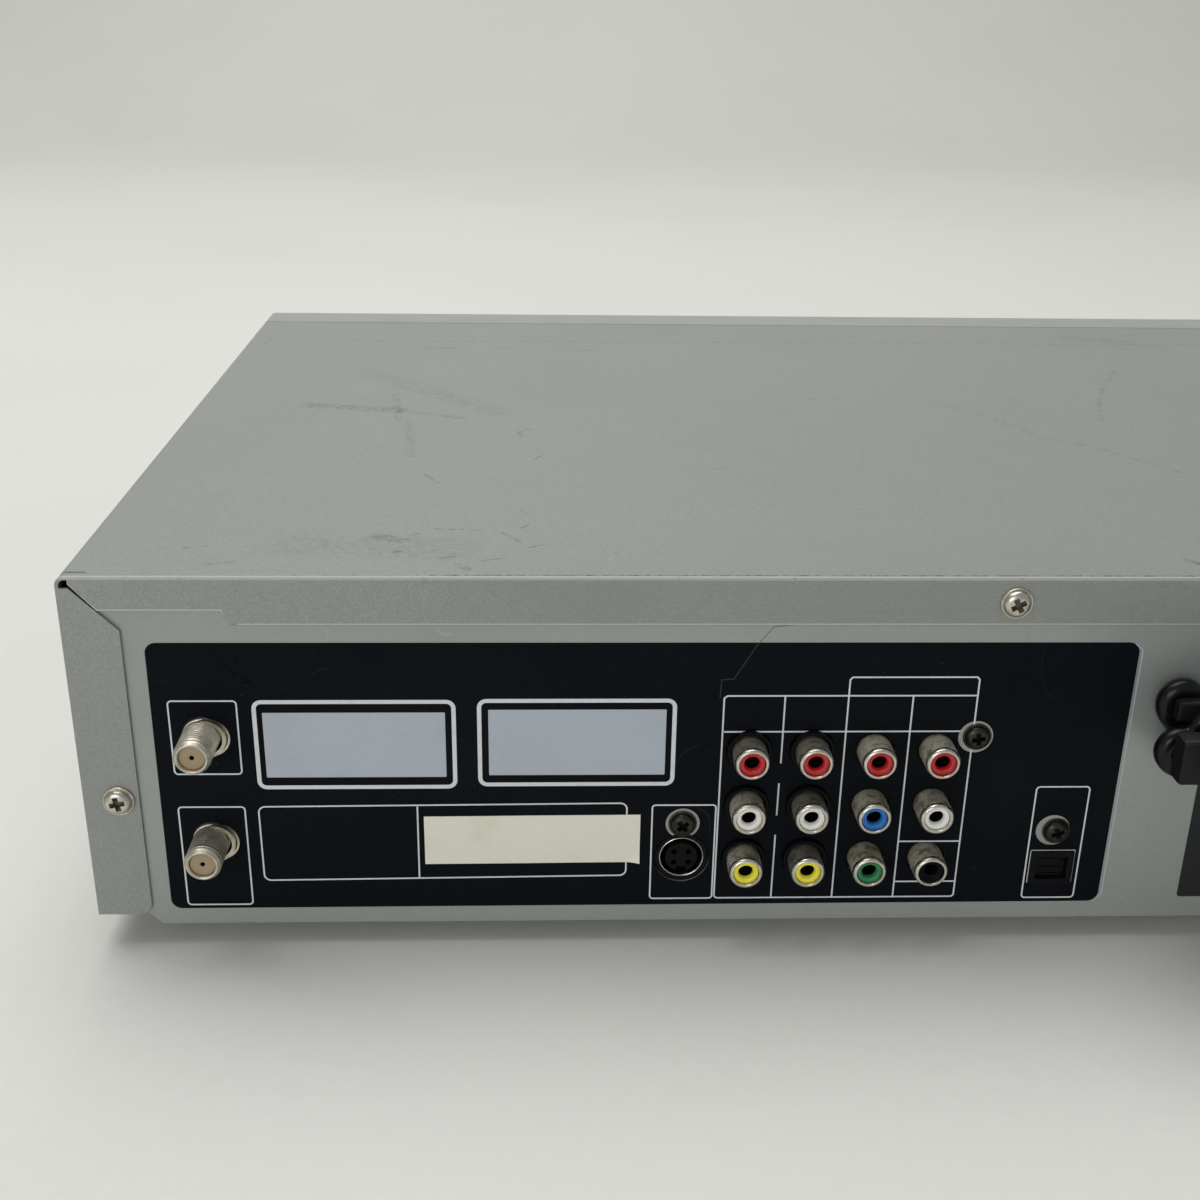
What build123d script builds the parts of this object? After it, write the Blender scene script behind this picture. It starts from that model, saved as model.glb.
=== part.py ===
from build123d import *
import math
import os

# Combined disc player and cassette recorder. Millimetres, +Z up, the front towards -Y.
# The origin lies on the standing surface, under the middle of the case.
# Places on the rear panel are given from its +X end (from_side) and from the top (from_top).

# Case
WIDTH = 430.0
CASE_HEIGHT = 91.5
COVER_DEPTH = 264.5
COVER_SHEET = 0.8
COVER_BEND = 2.2
COVER_RISE = 3.3
SHEET_GAP = 0.4
PANEL_SHEET = 0.8
BASE_SHEET = 1.0
BASE_CHAMFER = 13.7
BASE_SIDE = 34.0
FOOT_HEIGHT = 6.0
FOOT_RADIUS = 11.0
FOOT_CHAMFER = 1.2
FOOT_INSET_X = 45.0
FOOT_INSET_Y = 34.0
VENT_LENGTH = 46.0
VENT_WIDTH = 3.0
VENT_PITCH = 9.0
VENT_COUNT = 7

# Folded rear lips of the cover
TOP_LIP = 8.15
TOP_LIP_DEEP = 11.6
LIP_STEP_FROM_SIDE = 36.0
LIP_STEP_ROUND = 3.3
SIDE_LIP = 13.0
SIDE_LIP_ROUND = 3.0
CORNER_NOTCH = 2.8
MITRE_GAP = 0.4
MITRE_GAP_AT_NOTCH = 1.0
PANEL_CORNER_CUT = 13.5

# Screws
SCREW_RADIUS = 1.4
SCREW_HEAD_RADIUS = 3.8
SCREW_HEAD_HEIGHT = 2.1
SCREW_LENGTH = 7.0
SCREW_FIT = 0.1
SIDE_SCREW_FROM_SIDE = 8.26
SIDE_SCREW_FROM_TOP = 56.5
TOP_SCREW_FROM_TOP = 6.1

# Front panel
BEZEL_DEPTH = 18.0
BEZEL_WALL = 2.5
BEZEL_ROUND = 4.0
BEZEL_DROP = 1.5
BUTTON_PROUD = 1.2
BUTTON_FIT = 0.3
BUTTON_FLANGE = 1.5
BUTTON_FLANGE_THICK = 1.0
BUTTON_ROUND = 1.4
BUTTON_TRAVEL = 1.0
SWITCH_GAP = 0.4
SWITCH_SIDE = 6.0
SWITCH_HEIGHT = 3.5
POWER_RADIUS = 7.5
POWER_FROM_SIDE = 23.0
KEY_ROW_Z = 34.0
EJECT_WIDTH = 18.0
EJECT_HEIGHT = 6.0
TAPE_EJECT_Z = 47.5
DISC_EJECT_Z = 52.0
KEY_WIDTH = 18.0
KEY_HEIGHT = 9.0
KEY_PITCH = 23.0
KEY_BOARD_BACK = 13.0
BOARD_THICK = 1.6
KEY_BOARD_INSET = 10.0
KEY_BOARD_BOTTOM = 10.0
KEY_BOARD_TOP = 54.0
BOARD_POST_RADIUS = 3.0
WINDOW_WIDTH = 150.0
WINDOW_HEIGHT = 22.0
WINDOW_Z = 28.5
WINDOW_FIT = 0.3
WINDOW_FLANGE = 3.0
WINDOW_FLANGE_THICK = 1.5
WINDOW_SET_BACK = 0.4

# Cassette and its slot
CASSETTE_WIDTH = 188.0
CASSETTE_DEPTH = 104.0
CASSETTE_HEIGHT = 25.0
SLOT_SIDE_ROOM = 4.0
SLOT_HEIGHT = 33.0
SLOT_Z = 56.0
DOOR_THICK = 2.0
DOOR_GAP = 0.6
DOOR_PIN_RADIUS = 1.5
DOOR_PIN_BACK = 0.3
DOOR_PIN_DOWN = 2.4
DOOR_EAR = 3.0
BEZEL_EAR = 3.2
BEZEL_EAR_GAP = 0.8
HINGE_FIT = 0.05

# Tape deck
DECK_INSET = 6.5
DECK_FRONT = 8.0
DECK_SHEET = 1.2
DECK_CLEAR = 13.0
DECK_MARGIN = 2.5
DECK_LEG_RADIUS = 4.0
DECK_LEG_INSET = 16.0
DECK_BACK_MARGIN = 4.0
HOLDER_SHEET = 0.8
HOLDER_CLEAR = 0.7
HOLDER_LENGTH = 95.0
HOLDER_BACK = 20.0
HOLDER_LEDGE = 7.0
HOLDER_RISE = 1.0
HOLDER_TRAVEL = 38.0
HOLDER_DROP = 18.0
SLIDER_THICK = 2.1
SLIDER_HEIGHT = 8.0
SLIDER_OVERHANG = 7.0
SLIDER_GAP = 0.5
SLIDER_PIN_RADIUS = 2.0
SLIDER_PIN_INSET = 17.0
SLIDER_PIN_UP = 3.0
SLIDE_FIT = 0.1
SIDE_PLATE_SHEET = 1.2
SIDE_PLATE_MARGIN = 8.0
SIDE_PLATE_ABOVE = 12.0
DRUM_RADIUS = 31.0
DRUM_CLEAR = 2.0
LOWER_DRUM_HEIGHT = 17.0
UPPER_DRUM_HEIGHT = 16.0
DRUM_SPLIT = 0.4
DRUM_SHAFT_RADIUS = 3.0
DRUM_SHAFT_LENGTH = 11.0
DRUM_RECESS_RADIUS = 20.0
DRUM_RECESS = 3.0
SHAFT_FIT = 0.05
CAPSTAN_OFFSET_X = 62.0
CAPSTAN_CLEAR = 8.0
CAPSTAN_RADIUS = 1.5
CAPSTAN_ABOVE = 18.0
FLYWHEEL_RADIUS = 20.0
FLYWHEEL_THICK = 5.0
FLYWHEEL_CLEAR = 2.0
BEARING_RADIUS = 3.0
BEARING_ABOVE = 4.0
BEARING_BELOW = 2.5
STATOR_THICK = 2.5
STATOR_INNER = 8.0
PINCH_PIVOT_X = 22.0
PINCH_PIVOT_Y = 14.0
PINCH_ROLLER_RADIUS = 5.5
PINCH_ROLLER_LENGTH = 13.0
PINCH_ANGLE = 75.0
PINCH_SWING = 14.0
PINCH_GAP = 0.3
PINCH_PIVOT_RADIUS = 2.5
PINCH_PIN_RADIUS = 1.5
PINCH_ARM_WIDTH = 8.0
PINCH_ARM_THICK = 4.0
PINCH_HUB_HEIGHT = 14.0
REEL_SPACING = 92.0
REEL_RADIUS = 20.0
REEL_FLANGE = 3.0
REEL_HUB_RADIUS = 6.0
REEL_HUB_HEIGHT = 21.0
REEL_POST_RADIUS = 2.0
REEL_POST_HEIGHT = 12.0
REEL_SPLINE = 1.6
REEL_LIFT = 0.3
GUIDE_START_X = 30.0
GUIDE_START_BACK = 7.0
GUIDE_END_OUT = 9.0
GUIDE_END_AHEAD = 10.0
GUIDE_SLOT = 4.0
GUIDE_WIDTH = 10.0
GUIDE_LENGTH = 14.0
GUIDE_BLOCK_HEIGHT = 5.0
GUIDE_POST_RADIUS = 3.0
GUIDE_POST_HEIGHT = 20.0
GUIDE_FLANGE_RADIUS = 4.2
GUIDE_FLANGE_THICK = 1.5
HEAD_OFFSET_X = 54.0
HEAD_BEYOND_DRUM = 6.0
HEAD_WIDTH = 10.0
HEAD_DEPTH = 8.0
HEAD_HEIGHT = 22.0

# Disc loader
LOADER_INSET = 24.0
TRAY_WIDTH = 138.0
TRAY_LENGTH = 190.0
TRAY_THICK = 7.0
TRAY_Z = 64.0
TRAY_TRAVEL = 140.0
TRAY_FRONT_WIDTH = 148.0
TRAY_FRONT_HEIGHT = 17.0
TRAY_FRONT_THICK = 5.0
TRAY_FRONT_BELOW = 3.0
TRAY_FRONT_GAP = 0.6
TRAY_FRONT_ROUND = 1.5
TRAY_SIDE_GAP = 0.5
TRAY_RUN_GAP = 0.2
DISC_RADIUS = 60.0
DISC_ROOM = 1.0
DISC_RECESS = 3.0
SMALL_DISC_RADIUS = 40.0
SMALL_DISC_RECESS = 1.4
TRAY_SLOT_WIDTH = 42.0
LOADER_FRONT = 4.0
LOADER_LENGTH = 188.0
LOADER_WALL = 3.0
LOADER_FLOOR = 3.0
LOADER_FLOOR_DROP = 7.0
LOADER_WALL_ABOVE = 4.0
LOADER_RAIL = 5.5
LOADER_LEG_RADIUS = 4.0
LOADER_LEG_INSET = 8.0
SPINDLE_BACK = 78.0
BRIDGE_WIDTH = 36.0
BRIDGE_THICK = 3.0
BRIDGE_ABOVE = 9.0
PUCK_RADIUS = 14.0
PUCK_NECK_RADIUS = 9.0
PUCK_NECK_FIT = 0.5
PUCK_FLANGE_RADIUS = 13.0
PUCK_FLANGE_THICK = 1.8
PUCK_BELOW = 1.5
PUCK_REST_GAP = 0.2
GEAR_TEETH = 14
GEAR_MODULE = 1.25
GEAR_ADDENDUM = 1.0
GEAR_DEDENDUM = 1.45
GEAR_BACKLASH = 0.6
GEAR_THICK = 3.0
GEAR_PRESSURE = 20.0
GEAR_BACK = 16.0
RACK_INSET = 8.0
RACK_BACKING = 2.6
RACK_DEPTH = 3.2
RACK_OVERRUN = 8.0
GEAR_POST_RADIUS = 2.0
PULLEY_RADIUS = 12.0
PULLEY_THICK = 2.6
PULLEY_LIP = 0.5
PULLEY_LIFT = 0.4
BELT_THICK = 1.2
BELT_FIT = 0.1
MOTOR_PULLEY_RADIUS = 4.2
MOTOR_OFFSET_X = 30.0
MOTOR_RADIUS = 10.0
MOTOR_LENGTH = 20.0
MOTOR_SHAFT_RADIUS = 1.0
MOTOR_SHAFT_DEPTH = 6.0
TRAVERSE_WIDTH = 64.0
TRAVERSE_AHEAD = 18.0
TRAVERSE_THICK = 2.5
TRAVERSE_BEHIND = 90.0
TRAVERSE_GAP = 1.5
TRAVERSE_ROOM = 20.0
TRAVERSE_LIFT = 1.0
TRAVERSE_TILT = 4.5
PIVOT_RADIUS = 2.0
PIVOT_FROM_END = 5.0
PIVOT_LENGTH = 4.5
PIVOT_EAR = 5.5
PIVOT_EAR_LENGTH = 9.0
PIVOT_EAR_HEIGHT = 6.0
SPINDLE_RADIUS = 1.2
SPINDLE_MOTOR_RADIUS = 12.0
SPINDLE_MOTOR_HEIGHT = 8.0
TURNTABLE_RADIUS = 14.0
TURNTABLE_THICK = 3.6
TURNTABLE_ABOVE_DISC = 1.2
TURNTABLE_HUB_RADIUS = 5.0
TURNTABLE_HUB_CLEAR = 1.0
CENTRE_BOSS_RADIUS = 7.3
CENTRE_BOSS_HEIGHT = 1.8
ROD_RADIUS = 1.5
ROD_OFFSET_X = 22.0
ROD_LIFT = 2.6
ROD_EAR = 3.0
ROD_EAR_WIDTH = 6.0
SLED_LENGTH = 26.0
SLED_WIDTH = 50.0
SLED_HEIGHT = 4.2
SLED_FIT = 0.1
SLED_START = 12.0
SLED_TRAVEL = 34.0
SLED_END_ROOM = 2.0
LENS_RADIUS = 6.0
LENS_BELOW_DISC = 1.6
SCREW_LEAD = 3.0
PICKUP_WINDOW = 34.0

# Boards
BOARD_POST = 6.0
MAIN_BOARD_FRONT = 34.0
MAIN_BOARD_INSET = 7.0
MAIN_BOARD_GAP = 4.0
BOARD_BACK_GAP = 1.0
LEG_HOLE_FIT = 1.0
CHIP_SIDE = 24.0
CHIP_HEIGHT = 2.4
CHIP_PITCH = 38.0
SUPPLY_GAP = 3.0
SUPPLY_LENGTH = 140.0
SUPPLY_INSET = 10.0
TRANSFORMER_WIDTH = 34.0
TRANSFORMER_DEPTH = 26.0
TRANSFORMER_HEIGHT = 32.0
CAPACITOR_RADIUS = 8.0
CAPACITOR_HEIGHT = 26.0
CAPACITOR_PITCH = 20.0

# Phono jacks
JACK_RADIUS = 4.1
JACK_WALL = 0.75
JACK_REACH = 6.5
JACK_RIM = 0.35
JACK_INSERT_FIT = 0.05
JACK_INSERT_SET_BACK = 0.5
JACK_PIN_RADIUS = 1.65
JACK_PIN_DEPTH = 5.0
JACK_HOLE_FIT = 0.4
JACK_SHOULDER_RADIUS = 4.5
JACK_COLLAR_RADIUS = 5.2
JACK_COLLAR_REACH = 1.2
JACK_FROM_SIDE = 156.25
JACK_FROM_TOP = 44.07
JACK_COLUMN_PITCH = 14.89
JACK_ROW_PITCH = 14.74
JACK_HOUSING_DEPTH = 14.0
JACK_HOUSING_MARGIN = 7.3
JACK_TAB_WIDTH = 6.5
JACK_TAB_HEIGHT = 10.0
JACK_SCREW_FROM_SIDE = 210.0
JACK_SCREW_FROM_TOP = 40.6
FRONT_JACK_FROM_SIDE = 51.0
FRONT_JACK_PITCH = 15.0
FRONT_JACK_Z = 24.0
FRONT_JACK_DEPTH = 6.5
JACK_COLOURS = [
    ["red", "red", "red", "red"],
    ["white", "white", "blue", "white"],
    ["yellow", "yellow", "green", "black"],
]
FRONT_JACK_COLOURS = ["yellow", "white", "red"]

# Aerial connectors and tuner
RF_FROM_SIDE = 28.97
RF_UPPER_FROM_TOP = 39.5
RF_LOWER_FROM_TOP = 67.4
RF_REACH = 11.0
RF_RADIUS = 4.72
RF_WALL = 0.95
RF_CHAMFER = 0.7
RF_COLLAR_RADIUS = 6.1
RF_COLLAR_REACH = 2.0
RF_HOLE_RADIUS = 7.4
RF_HOLE_SHIFT = 1.0
RF_CORE_SET_BACK = 0.5
RF_CORE_DEPTH = 8.0
RF_CORE_FIT = 0.05
RF_CONTACT_RADIUS = 0.6
TUNER_WIDTH = 34.0
TUNER_DEPTH = 58.0
TUNER_ABOVE = 12.0
TUNER_SHEET = 0.6

# S-video and optical sockets
SVIDEO_FROM_SIDE = 141.2
SVIDEO_FROM_TOP = 73.5
SVIDEO_RADIUS = 6.4
SVIDEO_RECESS = 0.2
SVIDEO_SHIELD_RADIUS = 5.2
SVIDEO_SHIELD_WALL = 0.4
SVIDEO_CORE_RADIUS = 3.9
SVIDEO_DEPTH = 7.0
SVIDEO_BODY = 14.0
SVIDEO_BODY_DEPTH = 12.0
SVIDEO_PIN_RADIUS = 0.7
SVIDEO_PIN_RING = 2.3
SVIDEO_KEY_WIDTH = 2.6
SVIDEO_KEY_HEIGHT = 1.2
SVIDEO_SCREW_FROM_TOP = 63.9
OPTICAL_FROM_SIDE = 232.3
OPTICAL_FROM_TOP = 76.7
OPTICAL_WIDTH = 10.6
OPTICAL_HEIGHT = 9.2
OPTICAL_PROUD = 0.8
OPTICAL_WALL = 1.5
OPTICAL_BODY_WIDTH = 15.0
OPTICAL_BODY_DEPTH = 15.0
OPTICAL_SOCKET_DEPTH = 11.0
OPTICAL_SCREW_FROM_TOP = 66.4
OPTICAL_TAB = 4.0
SHUTTER_SET_BACK = 1.2
SHUTTER_THICK = 1.0
SHUTTER_GAP = 0.3
SHUTTER_PIN_RADIUS = 0.5
SHUTTER_PIN_LENGTH = 0.8

# Mains cord
CORD_DIAMETER = 4.8
CORD_STEP = 5.4
CORD_SIDES = 8
RELIEF_FROM_SIDE = 23.0
RELIEF_OUT = 20.0
RELIEF_FLANGE_RADIUS = 7.0
RELIEF_FLANGE = 2.0
RELIEF_ROOT_RADIUS = 5.6
RELIEF_TIP_RADIUS = 3.8
RELIEF_NECK_RADIUS = 5.0
RELIEF_IN = 8.0
RELIEF_BARB_RADIUS = 6.4
HANK_X = -76.0
HANK_Z = 61.5
HANK_OFF_PANEL = 5.8
HANK_RUN = 64.0
HANK_INNER = 4.7
HANK_TURNS = 2
PLUG_LENGTH = 26.0
PLUG_WIDTH = 17.0
PLUG_THICK = 10.5
PLUG_TAIL = 12.0
PLUG_TAIL_RADIUS = 4.0
PLUG_ROUND = 2.5
PLUG_GAP = 0.7
PLUG_LEVEL = -2.0
BLADE_LENGTH = 16.0
BLADE_WIDTH = 6.3
BLADE_THICK = 1.5
BLADE_SPACING = 12.7
TAIL_RUN = 8.0
LEAD_RUN = 10.0
LEAD_TURN = 30.0
LEAD_SLOPE = 45.0
LEAD_LAST = 16.0

# Places worked out from the sizes above
DEPTH = BUTTON_PROUD + BEZEL_DEPTH + COVER_DEPTH - COVER_SHEET + RF_REACH
FRONT = -DEPTH / 2 + BUTTON_PROUD
SEAM = FRONT + BEZEL_DEPTH
REAR = SEAM + COVER_DEPTH
PANEL_OUT = REAR - COVER_SHEET
PANEL_IN = PANEL_OUT - PANEL_SHEET
BASE_Z = FOOT_HEIGHT
FLOOR_Z = BASE_Z + BASE_SHEET
TOP_Z = BASE_Z + CASE_HEIGHT
COVER_BOTTOM = BASE_Z + COVER_RISE
BASE_HALF = WIDTH / 2 - COVER_SHEET - SHEET_GAP
BOARD_Z = FLOOR_Z + BOARD_POST
BOARD_TOP = BOARD_Z + BOARD_THICK

HOLDER_HALF = CASSETTE_WIDTH / 2 + HOLDER_CLEAR + HOLDER_SHEET
SLIDER_IN = HOLDER_HALF + SLIDER_GAP
SLIDER_OUT = SLIDER_IN + SLIDER_THICK
SIDE_PLATE_IN = SLIDER_OUT + SLIDER_GAP
SIDE_PLATE_OUT = SIDE_PLATE_IN + SIDE_PLATE_SHEET
DECK_HALF = SIDE_PLATE_OUT + DECK_MARGIN
DECK_X = -WIDTH / 2 + DECK_INSET + DECK_HALF
DECK_Z = FLOOR_Z + DECK_CLEAR
DECK_TOP = DECK_Z + DECK_SHEET
SLOT_HALF = CASSETTE_WIDTH / 2 + SLOT_SIDE_ROOM
SLOT_TOP = SLOT_Z + SLOT_HEIGHT
DOOR_AXIS_Y = FRONT + BEZEL_WALL + DOOR_PIN_RADIUS + DOOR_PIN_BACK
DOOR_AXIS_Z = SLOT_TOP - DOOR_PIN_DOWN
HOLDER_Z = SLOT_Z + HOLDER_RISE
HOLDER_TOP = HOLDER_Z + CASSETTE_HEIGHT + 2 * HOLDER_CLEAR
HOLDER_FRONT = SEAM + HOLDER_BACK
LOADED_END = HOLDER_FRONT + HOLDER_LENGTH + HOLDER_TRAVEL
SLIDER_PIN_Z = HOLDER_Z + SLIDER_PIN_UP
SLIDER_PINS_Y = [HOLDER_FRONT + SLIDER_PIN_INSET, HOLDER_FRONT + HOLDER_LENGTH - SLIDER_PIN_INSET]
DRUM_Y = LOADED_END + DRUM_CLEAR + DRUM_RADIUS
DECK_END = DRUM_Y + DRUM_RADIUS + DECK_BACK_MARGIN
CAPSTAN_X = DECK_X + CAPSTAN_OFFSET_X
CAPSTAN_Y = LOADED_END + CAPSTAN_CLEAR
PIVOT_X = CAPSTAN_X + PINCH_PIVOT_X
PIVOT_Y = CAPSTAN_Y + PINCH_PIVOT_Y
PINCH_REACH = CAPSTAN_RADIUS + PINCH_ROLLER_RADIUS + PINCH_GAP
PRESSED_X = CAPSTAN_X + PINCH_REACH * math.cos(math.radians(PINCH_ANGLE))
PRESSED_Y = CAPSTAN_Y + PINCH_REACH * math.sin(math.radians(PINCH_ANGLE))
PINCH_ARM = math.hypot(PRESSED_X - PIVOT_X, PRESSED_Y - PIVOT_Y)
PINCH_REST = math.atan2(PRESSED_Y - PIVOT_Y, PRESSED_X - PIVOT_X) - math.radians(PINCH_SWING)
ROLLER_X = PIVOT_X + PINCH_ARM * math.cos(PINCH_REST)
ROLLER_Y = PIVOT_Y + PINCH_ARM * math.sin(PINCH_REST)
PINCH_ARM_Z = DECK_TOP + REEL_LIFT
PINCH_ROLLER_Z = PINCH_ARM_Z + PINCH_ARM_THICK + SHAFT_FIT
REEL_Y = HOLDER_FRONT + HOLDER_TRAVEL + CASSETTE_DEPTH / 2
GUIDE_START_Y = LOADED_END - GUIDE_START_BACK
GUIDE_END_X = DRUM_RADIUS + GUIDE_END_OUT
GUIDE_END_Y = DRUM_Y - GUIDE_END_AHEAD
GUIDE_TRAVEL = math.hypot(GUIDE_END_X - GUIDE_START_X, GUIDE_END_Y - GUIDE_START_Y)
GUIDE_ANGLE = math.degrees(math.atan2(GUIDE_END_Y - GUIDE_START_Y, GUIDE_END_X - GUIDE_START_X))

LOADER_HALF = TRAY_WIDTH / 2 + TRAY_SIDE_GAP + LOADER_WALL
LOADER_X = WIDTH / 2 - LOADER_INSET - LOADER_HALF
LOADER_Y0 = SEAM + LOADER_FRONT
LOADER_Y1 = LOADER_Y0 + LOADER_LENGTH
LOADER_TOP = TRAY_Z - LOADER_FLOOR_DROP
LOADER_Z = LOADER_TOP - LOADER_FLOOR
TRAY_Y0 = FRONT + TRAY_FRONT_THICK
TRAY_TOP = TRAY_Z + TRAY_THICK
SPINDLE_Y = SEAM + SPINDLE_BACK
DISC_Z = TRAY_TOP - DISC_RECESS + TURNTABLE_ABOVE_DISC
BRIDGE_Z = TRAY_TOP + BRIDGE_ABOVE
GEAR_PITCH = math.pi * GEAR_MODULE
GEAR_RADIUS = GEAR_TEETH * GEAR_MODULE / 2
GEAR_Y = SEAM + GEAR_BACK
RACK_PITCH_X = LOADER_X - TRAY_WIDTH / 2 + RACK_INSET + RACK_BACKING + GEAR_DEDENDUM
GEAR_X = RACK_PITCH_X + GEAR_RADIUS
PULLEY_Z = LOADER_TOP + PULLEY_LIFT
GEAR_Z = TRAY_Z - RACK_DEPTH
MOTOR_X = LOADER_X + MOTOR_OFFSET_X
BELT_Z0 = PULLEY_Z + PULLEY_LIP + BELT_FIT
BELT_Z1 = PULLEY_Z + PULLEY_THICK - PULLEY_LIP - BELT_FIT
TRAVERSE_Z = LOADER_Z + TRAVERSE_LIFT
TRAVERSE_TOP = TRAVERSE_Z + TRAVERSE_THICK
TRAVERSE_Y0 = SPINDLE_Y - TRAVERSE_AHEAD
TRAVERSE_Y1 = SPINDLE_Y + TRAVERSE_BEHIND
TRAVERSE_AXIS_Y = TRAVERSE_Y1 - PIVOT_FROM_END
TRAVERSE_AXIS_Z = TRAVERSE_Z + TRAVERSE_THICK / 2
ROD_Z = TRAVERSE_TOP + ROD_LIFT
SLED_Y = SPINDLE_Y + SLED_START
ROD_Y0 = SLED_Y - SLED_END_ROOM
ROD_Y1 = SLED_Y + SLED_LENGTH + SLED_TRAVEL + SLED_END_ROOM

JACK_TIP = PANEL_OUT + JACK_REACH
CORD_RADIUS = CORD_DIAMETER / 2
HANK_OUTER = HANK_INNER + (HANK_TURNS - 1) * CORD_STEP
RELIEF_X = RELIEF_FROM_SIDE - WIDTH / 2
RELIEF_Z = HANK_Z + HANK_OUTER


def rear_x(from_side):
    """X of a place on the rear panel, measured from its +X end."""
    return WIDTH / 2 - from_side


def rear_z(from_top):
    """Z of a place on the rear panel, measured from the top of the cover."""
    return TOP_Z - from_top


def block(x0, x1, y0, y1, z0, z1):
    """A box between two corners."""
    return Pos((x0 + x1) / 2, (y0 + y1) / 2, (z0 + z1) / 2) * Box(x1 - x0, y1 - y0, z1 - z0)


def upright(x, y, z0, z1, radius):
    """A cylinder along Z."""
    return Pos(x, y, (z0 + z1) / 2) * Cylinder(radius, z1 - z0)


def along_y(x, y0, y1, z, radius):
    """A cylinder along Y."""
    return Pos(x, (y0 + y1) / 2, z) * Rot(90, 0, 0) * Cylinder(radius, y1 - y0)


def along_x(x0, x1, y, z, radius):
    """A cylinder along X."""
    return Pos((x0 + x1) / 2, y, z) * Rot(0, 90, 0) * Cylinder(radius, x1 - x0)


def prism_x(sketch, x0, x1):
    """A sketch drawn in Y and Z, extruded along X."""
    return extrude(Plane.YZ.offset(x0) * sketch, amount=x1 - x0)


def prism_y(sketch, y0, y1):
    """A sketch drawn in X and Z, extruded along Y."""
    return extrude(Plane.XZ.offset(-y1) * sketch, amount=y1 - y0)


def prism_z(sketch, z0, z1):
    """A sketch drawn in X and Y, extruded along Z."""
    return extrude(Pos(0, 0, z0) * sketch, amount=z1 - z0)


def outline(*points):
    """A flat face inside straight edges."""
    return make_face(Polyline(*points, close=True))


def mirrored(shape):
    """The shape together with its mirror image across the middle of the case."""
    return shape + mirror(shape, about=Plane.YZ)


def turned(axis_points, x, z, y0=0.0):
    """A solid of revolution about an axis along +Y; points are (radius, distance along the axis)."""
    profile = make_face(Polyline(*axis_points, close=True))
    solid = revolve(Plane.XY * profile, axis=Axis.Y)
    return Pos(x, y0, z) * solid


def group(solids):
    """Separate solids that share one node."""
    return Compound(children=list(solids))


# Case


def screw_places():
    """Centres (x, z) of the cover screws: one on each side lip and one on the top lip."""
    side_x = rear_x(SIDE_SCREW_FROM_SIDE)
    side_z = rear_z(SIDE_SCREW_FROM_TOP)
    return [(side_x, side_z), (-side_x, side_z), (0, rear_z(TOP_SCREW_FROM_TOP))]


def panel_screw_places():
    """Centres (x, z) of the screws that hold the sockets to the rear panel."""
    return [
        (rear_x(JACK_SCREW_FROM_SIDE), rear_z(JACK_SCREW_FROM_TOP)),
        (rear_x(OPTICAL_FROM_SIDE), rear_z(OPTICAL_SCREW_FROM_TOP)),
        (rear_x(SVIDEO_FROM_SIDE), rear_z(SVIDEO_SCREW_FROM_TOP)),
    ]


def screw(x, z, seat):
    """A pan-head screw whose head sits on the plane y = seat."""
    head = [
        (0, SCREW_HEAD_HEIGHT),
        (SCREW_HEAD_RADIUS * 0.6, SCREW_HEAD_HEIGHT),
        (SCREW_HEAD_RADIUS * 0.85, SCREW_HEAD_HEIGHT * 0.6),
        (SCREW_HEAD_RADIUS, SCREW_HEAD_HEIGHT * 0.3),
        (SCREW_HEAD_RADIUS, 0),
        (SCREW_RADIUS, 0),
        (SCREW_RADIUS, -SCREW_LENGTH),
        (0, -SCREW_LENGTH),
    ]
    return turned(head, x, z, seat)


def screw_hole(x, z, y0, y1):
    """The hole that a screw goes through."""
    return along_y(x, y0, y1, z, SCREW_RADIUS + SCREW_FIT)


def make_top_cover():
    """Sheet cover: a U over the case, with lips folded over the rear panel and mitred corners."""
    height = TOP_Z - COVER_BOTTOM
    outer = Pos(0, COVER_BOTTOM + height / 2) * Rectangle(WIDTH, height)
    outer = fillet(outer.vertices().group_by(Axis.Y)[-1], COVER_BEND)
    inner = Pos(0, COVER_BOTTOM + height / 2 - COVER_SHEET) * Rectangle(WIDTH - 2 * COVER_SHEET, height)
    inner = fillet(inner.vertices().group_by(Axis.Y)[-1], COVER_BEND - COVER_SHEET)
    shell = prism_y(outer - inner, SEAM, REAR)

    bite = COVER_SHEET / 2
    edge = WIDTH / 2
    deep_half = edge - LIP_STEP_FROM_SIDE
    deep = Pos(0, TOP_Z - (TOP_LIP_DEEP + bite) / 2) * Rectangle(2 * deep_half, TOP_LIP_DEEP - bite)
    deep = fillet(deep.vertices().group_by(Axis.Y)[0], LIP_STEP_ROUND)
    shallow_half = outline(
        (0, TOP_Z - bite),
        (edge - CORNER_NOTCH, TOP_Z - bite),
        (edge - CORNER_NOTCH, TOP_Z - CORNER_NOTCH + MITRE_GAP_AT_NOTCH),
        (edge - TOP_LIP - MITRE_GAP, TOP_Z - TOP_LIP),
        (0, TOP_Z - TOP_LIP),
    )
    side = outline(
        (edge - bite, TOP_Z - CORNER_NOTCH),
        (edge - CORNER_NOTCH, TOP_Z - CORNER_NOTCH),
        (edge - SIDE_LIP, TOP_Z - SIDE_LIP),
        (edge - SIDE_LIP, COVER_BOTTOM),
        (edge - bite, COVER_BOTTOM),
    )
    inner_foot = side.vertices().group_by(Axis.Y)[0].sort_by(Axis.X)[0]
    side = fillet(inner_foot, SIDE_LIP_ROUND)
    lips = deep + mirrored(shallow_half) + mirrored(side)
    cover = shell + prism_y(lips, PANEL_OUT, REAR)
    for x, z in screw_places():
        cover -= screw_hole(x, z, PANEL_OUT, REAR)
    return cover


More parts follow.
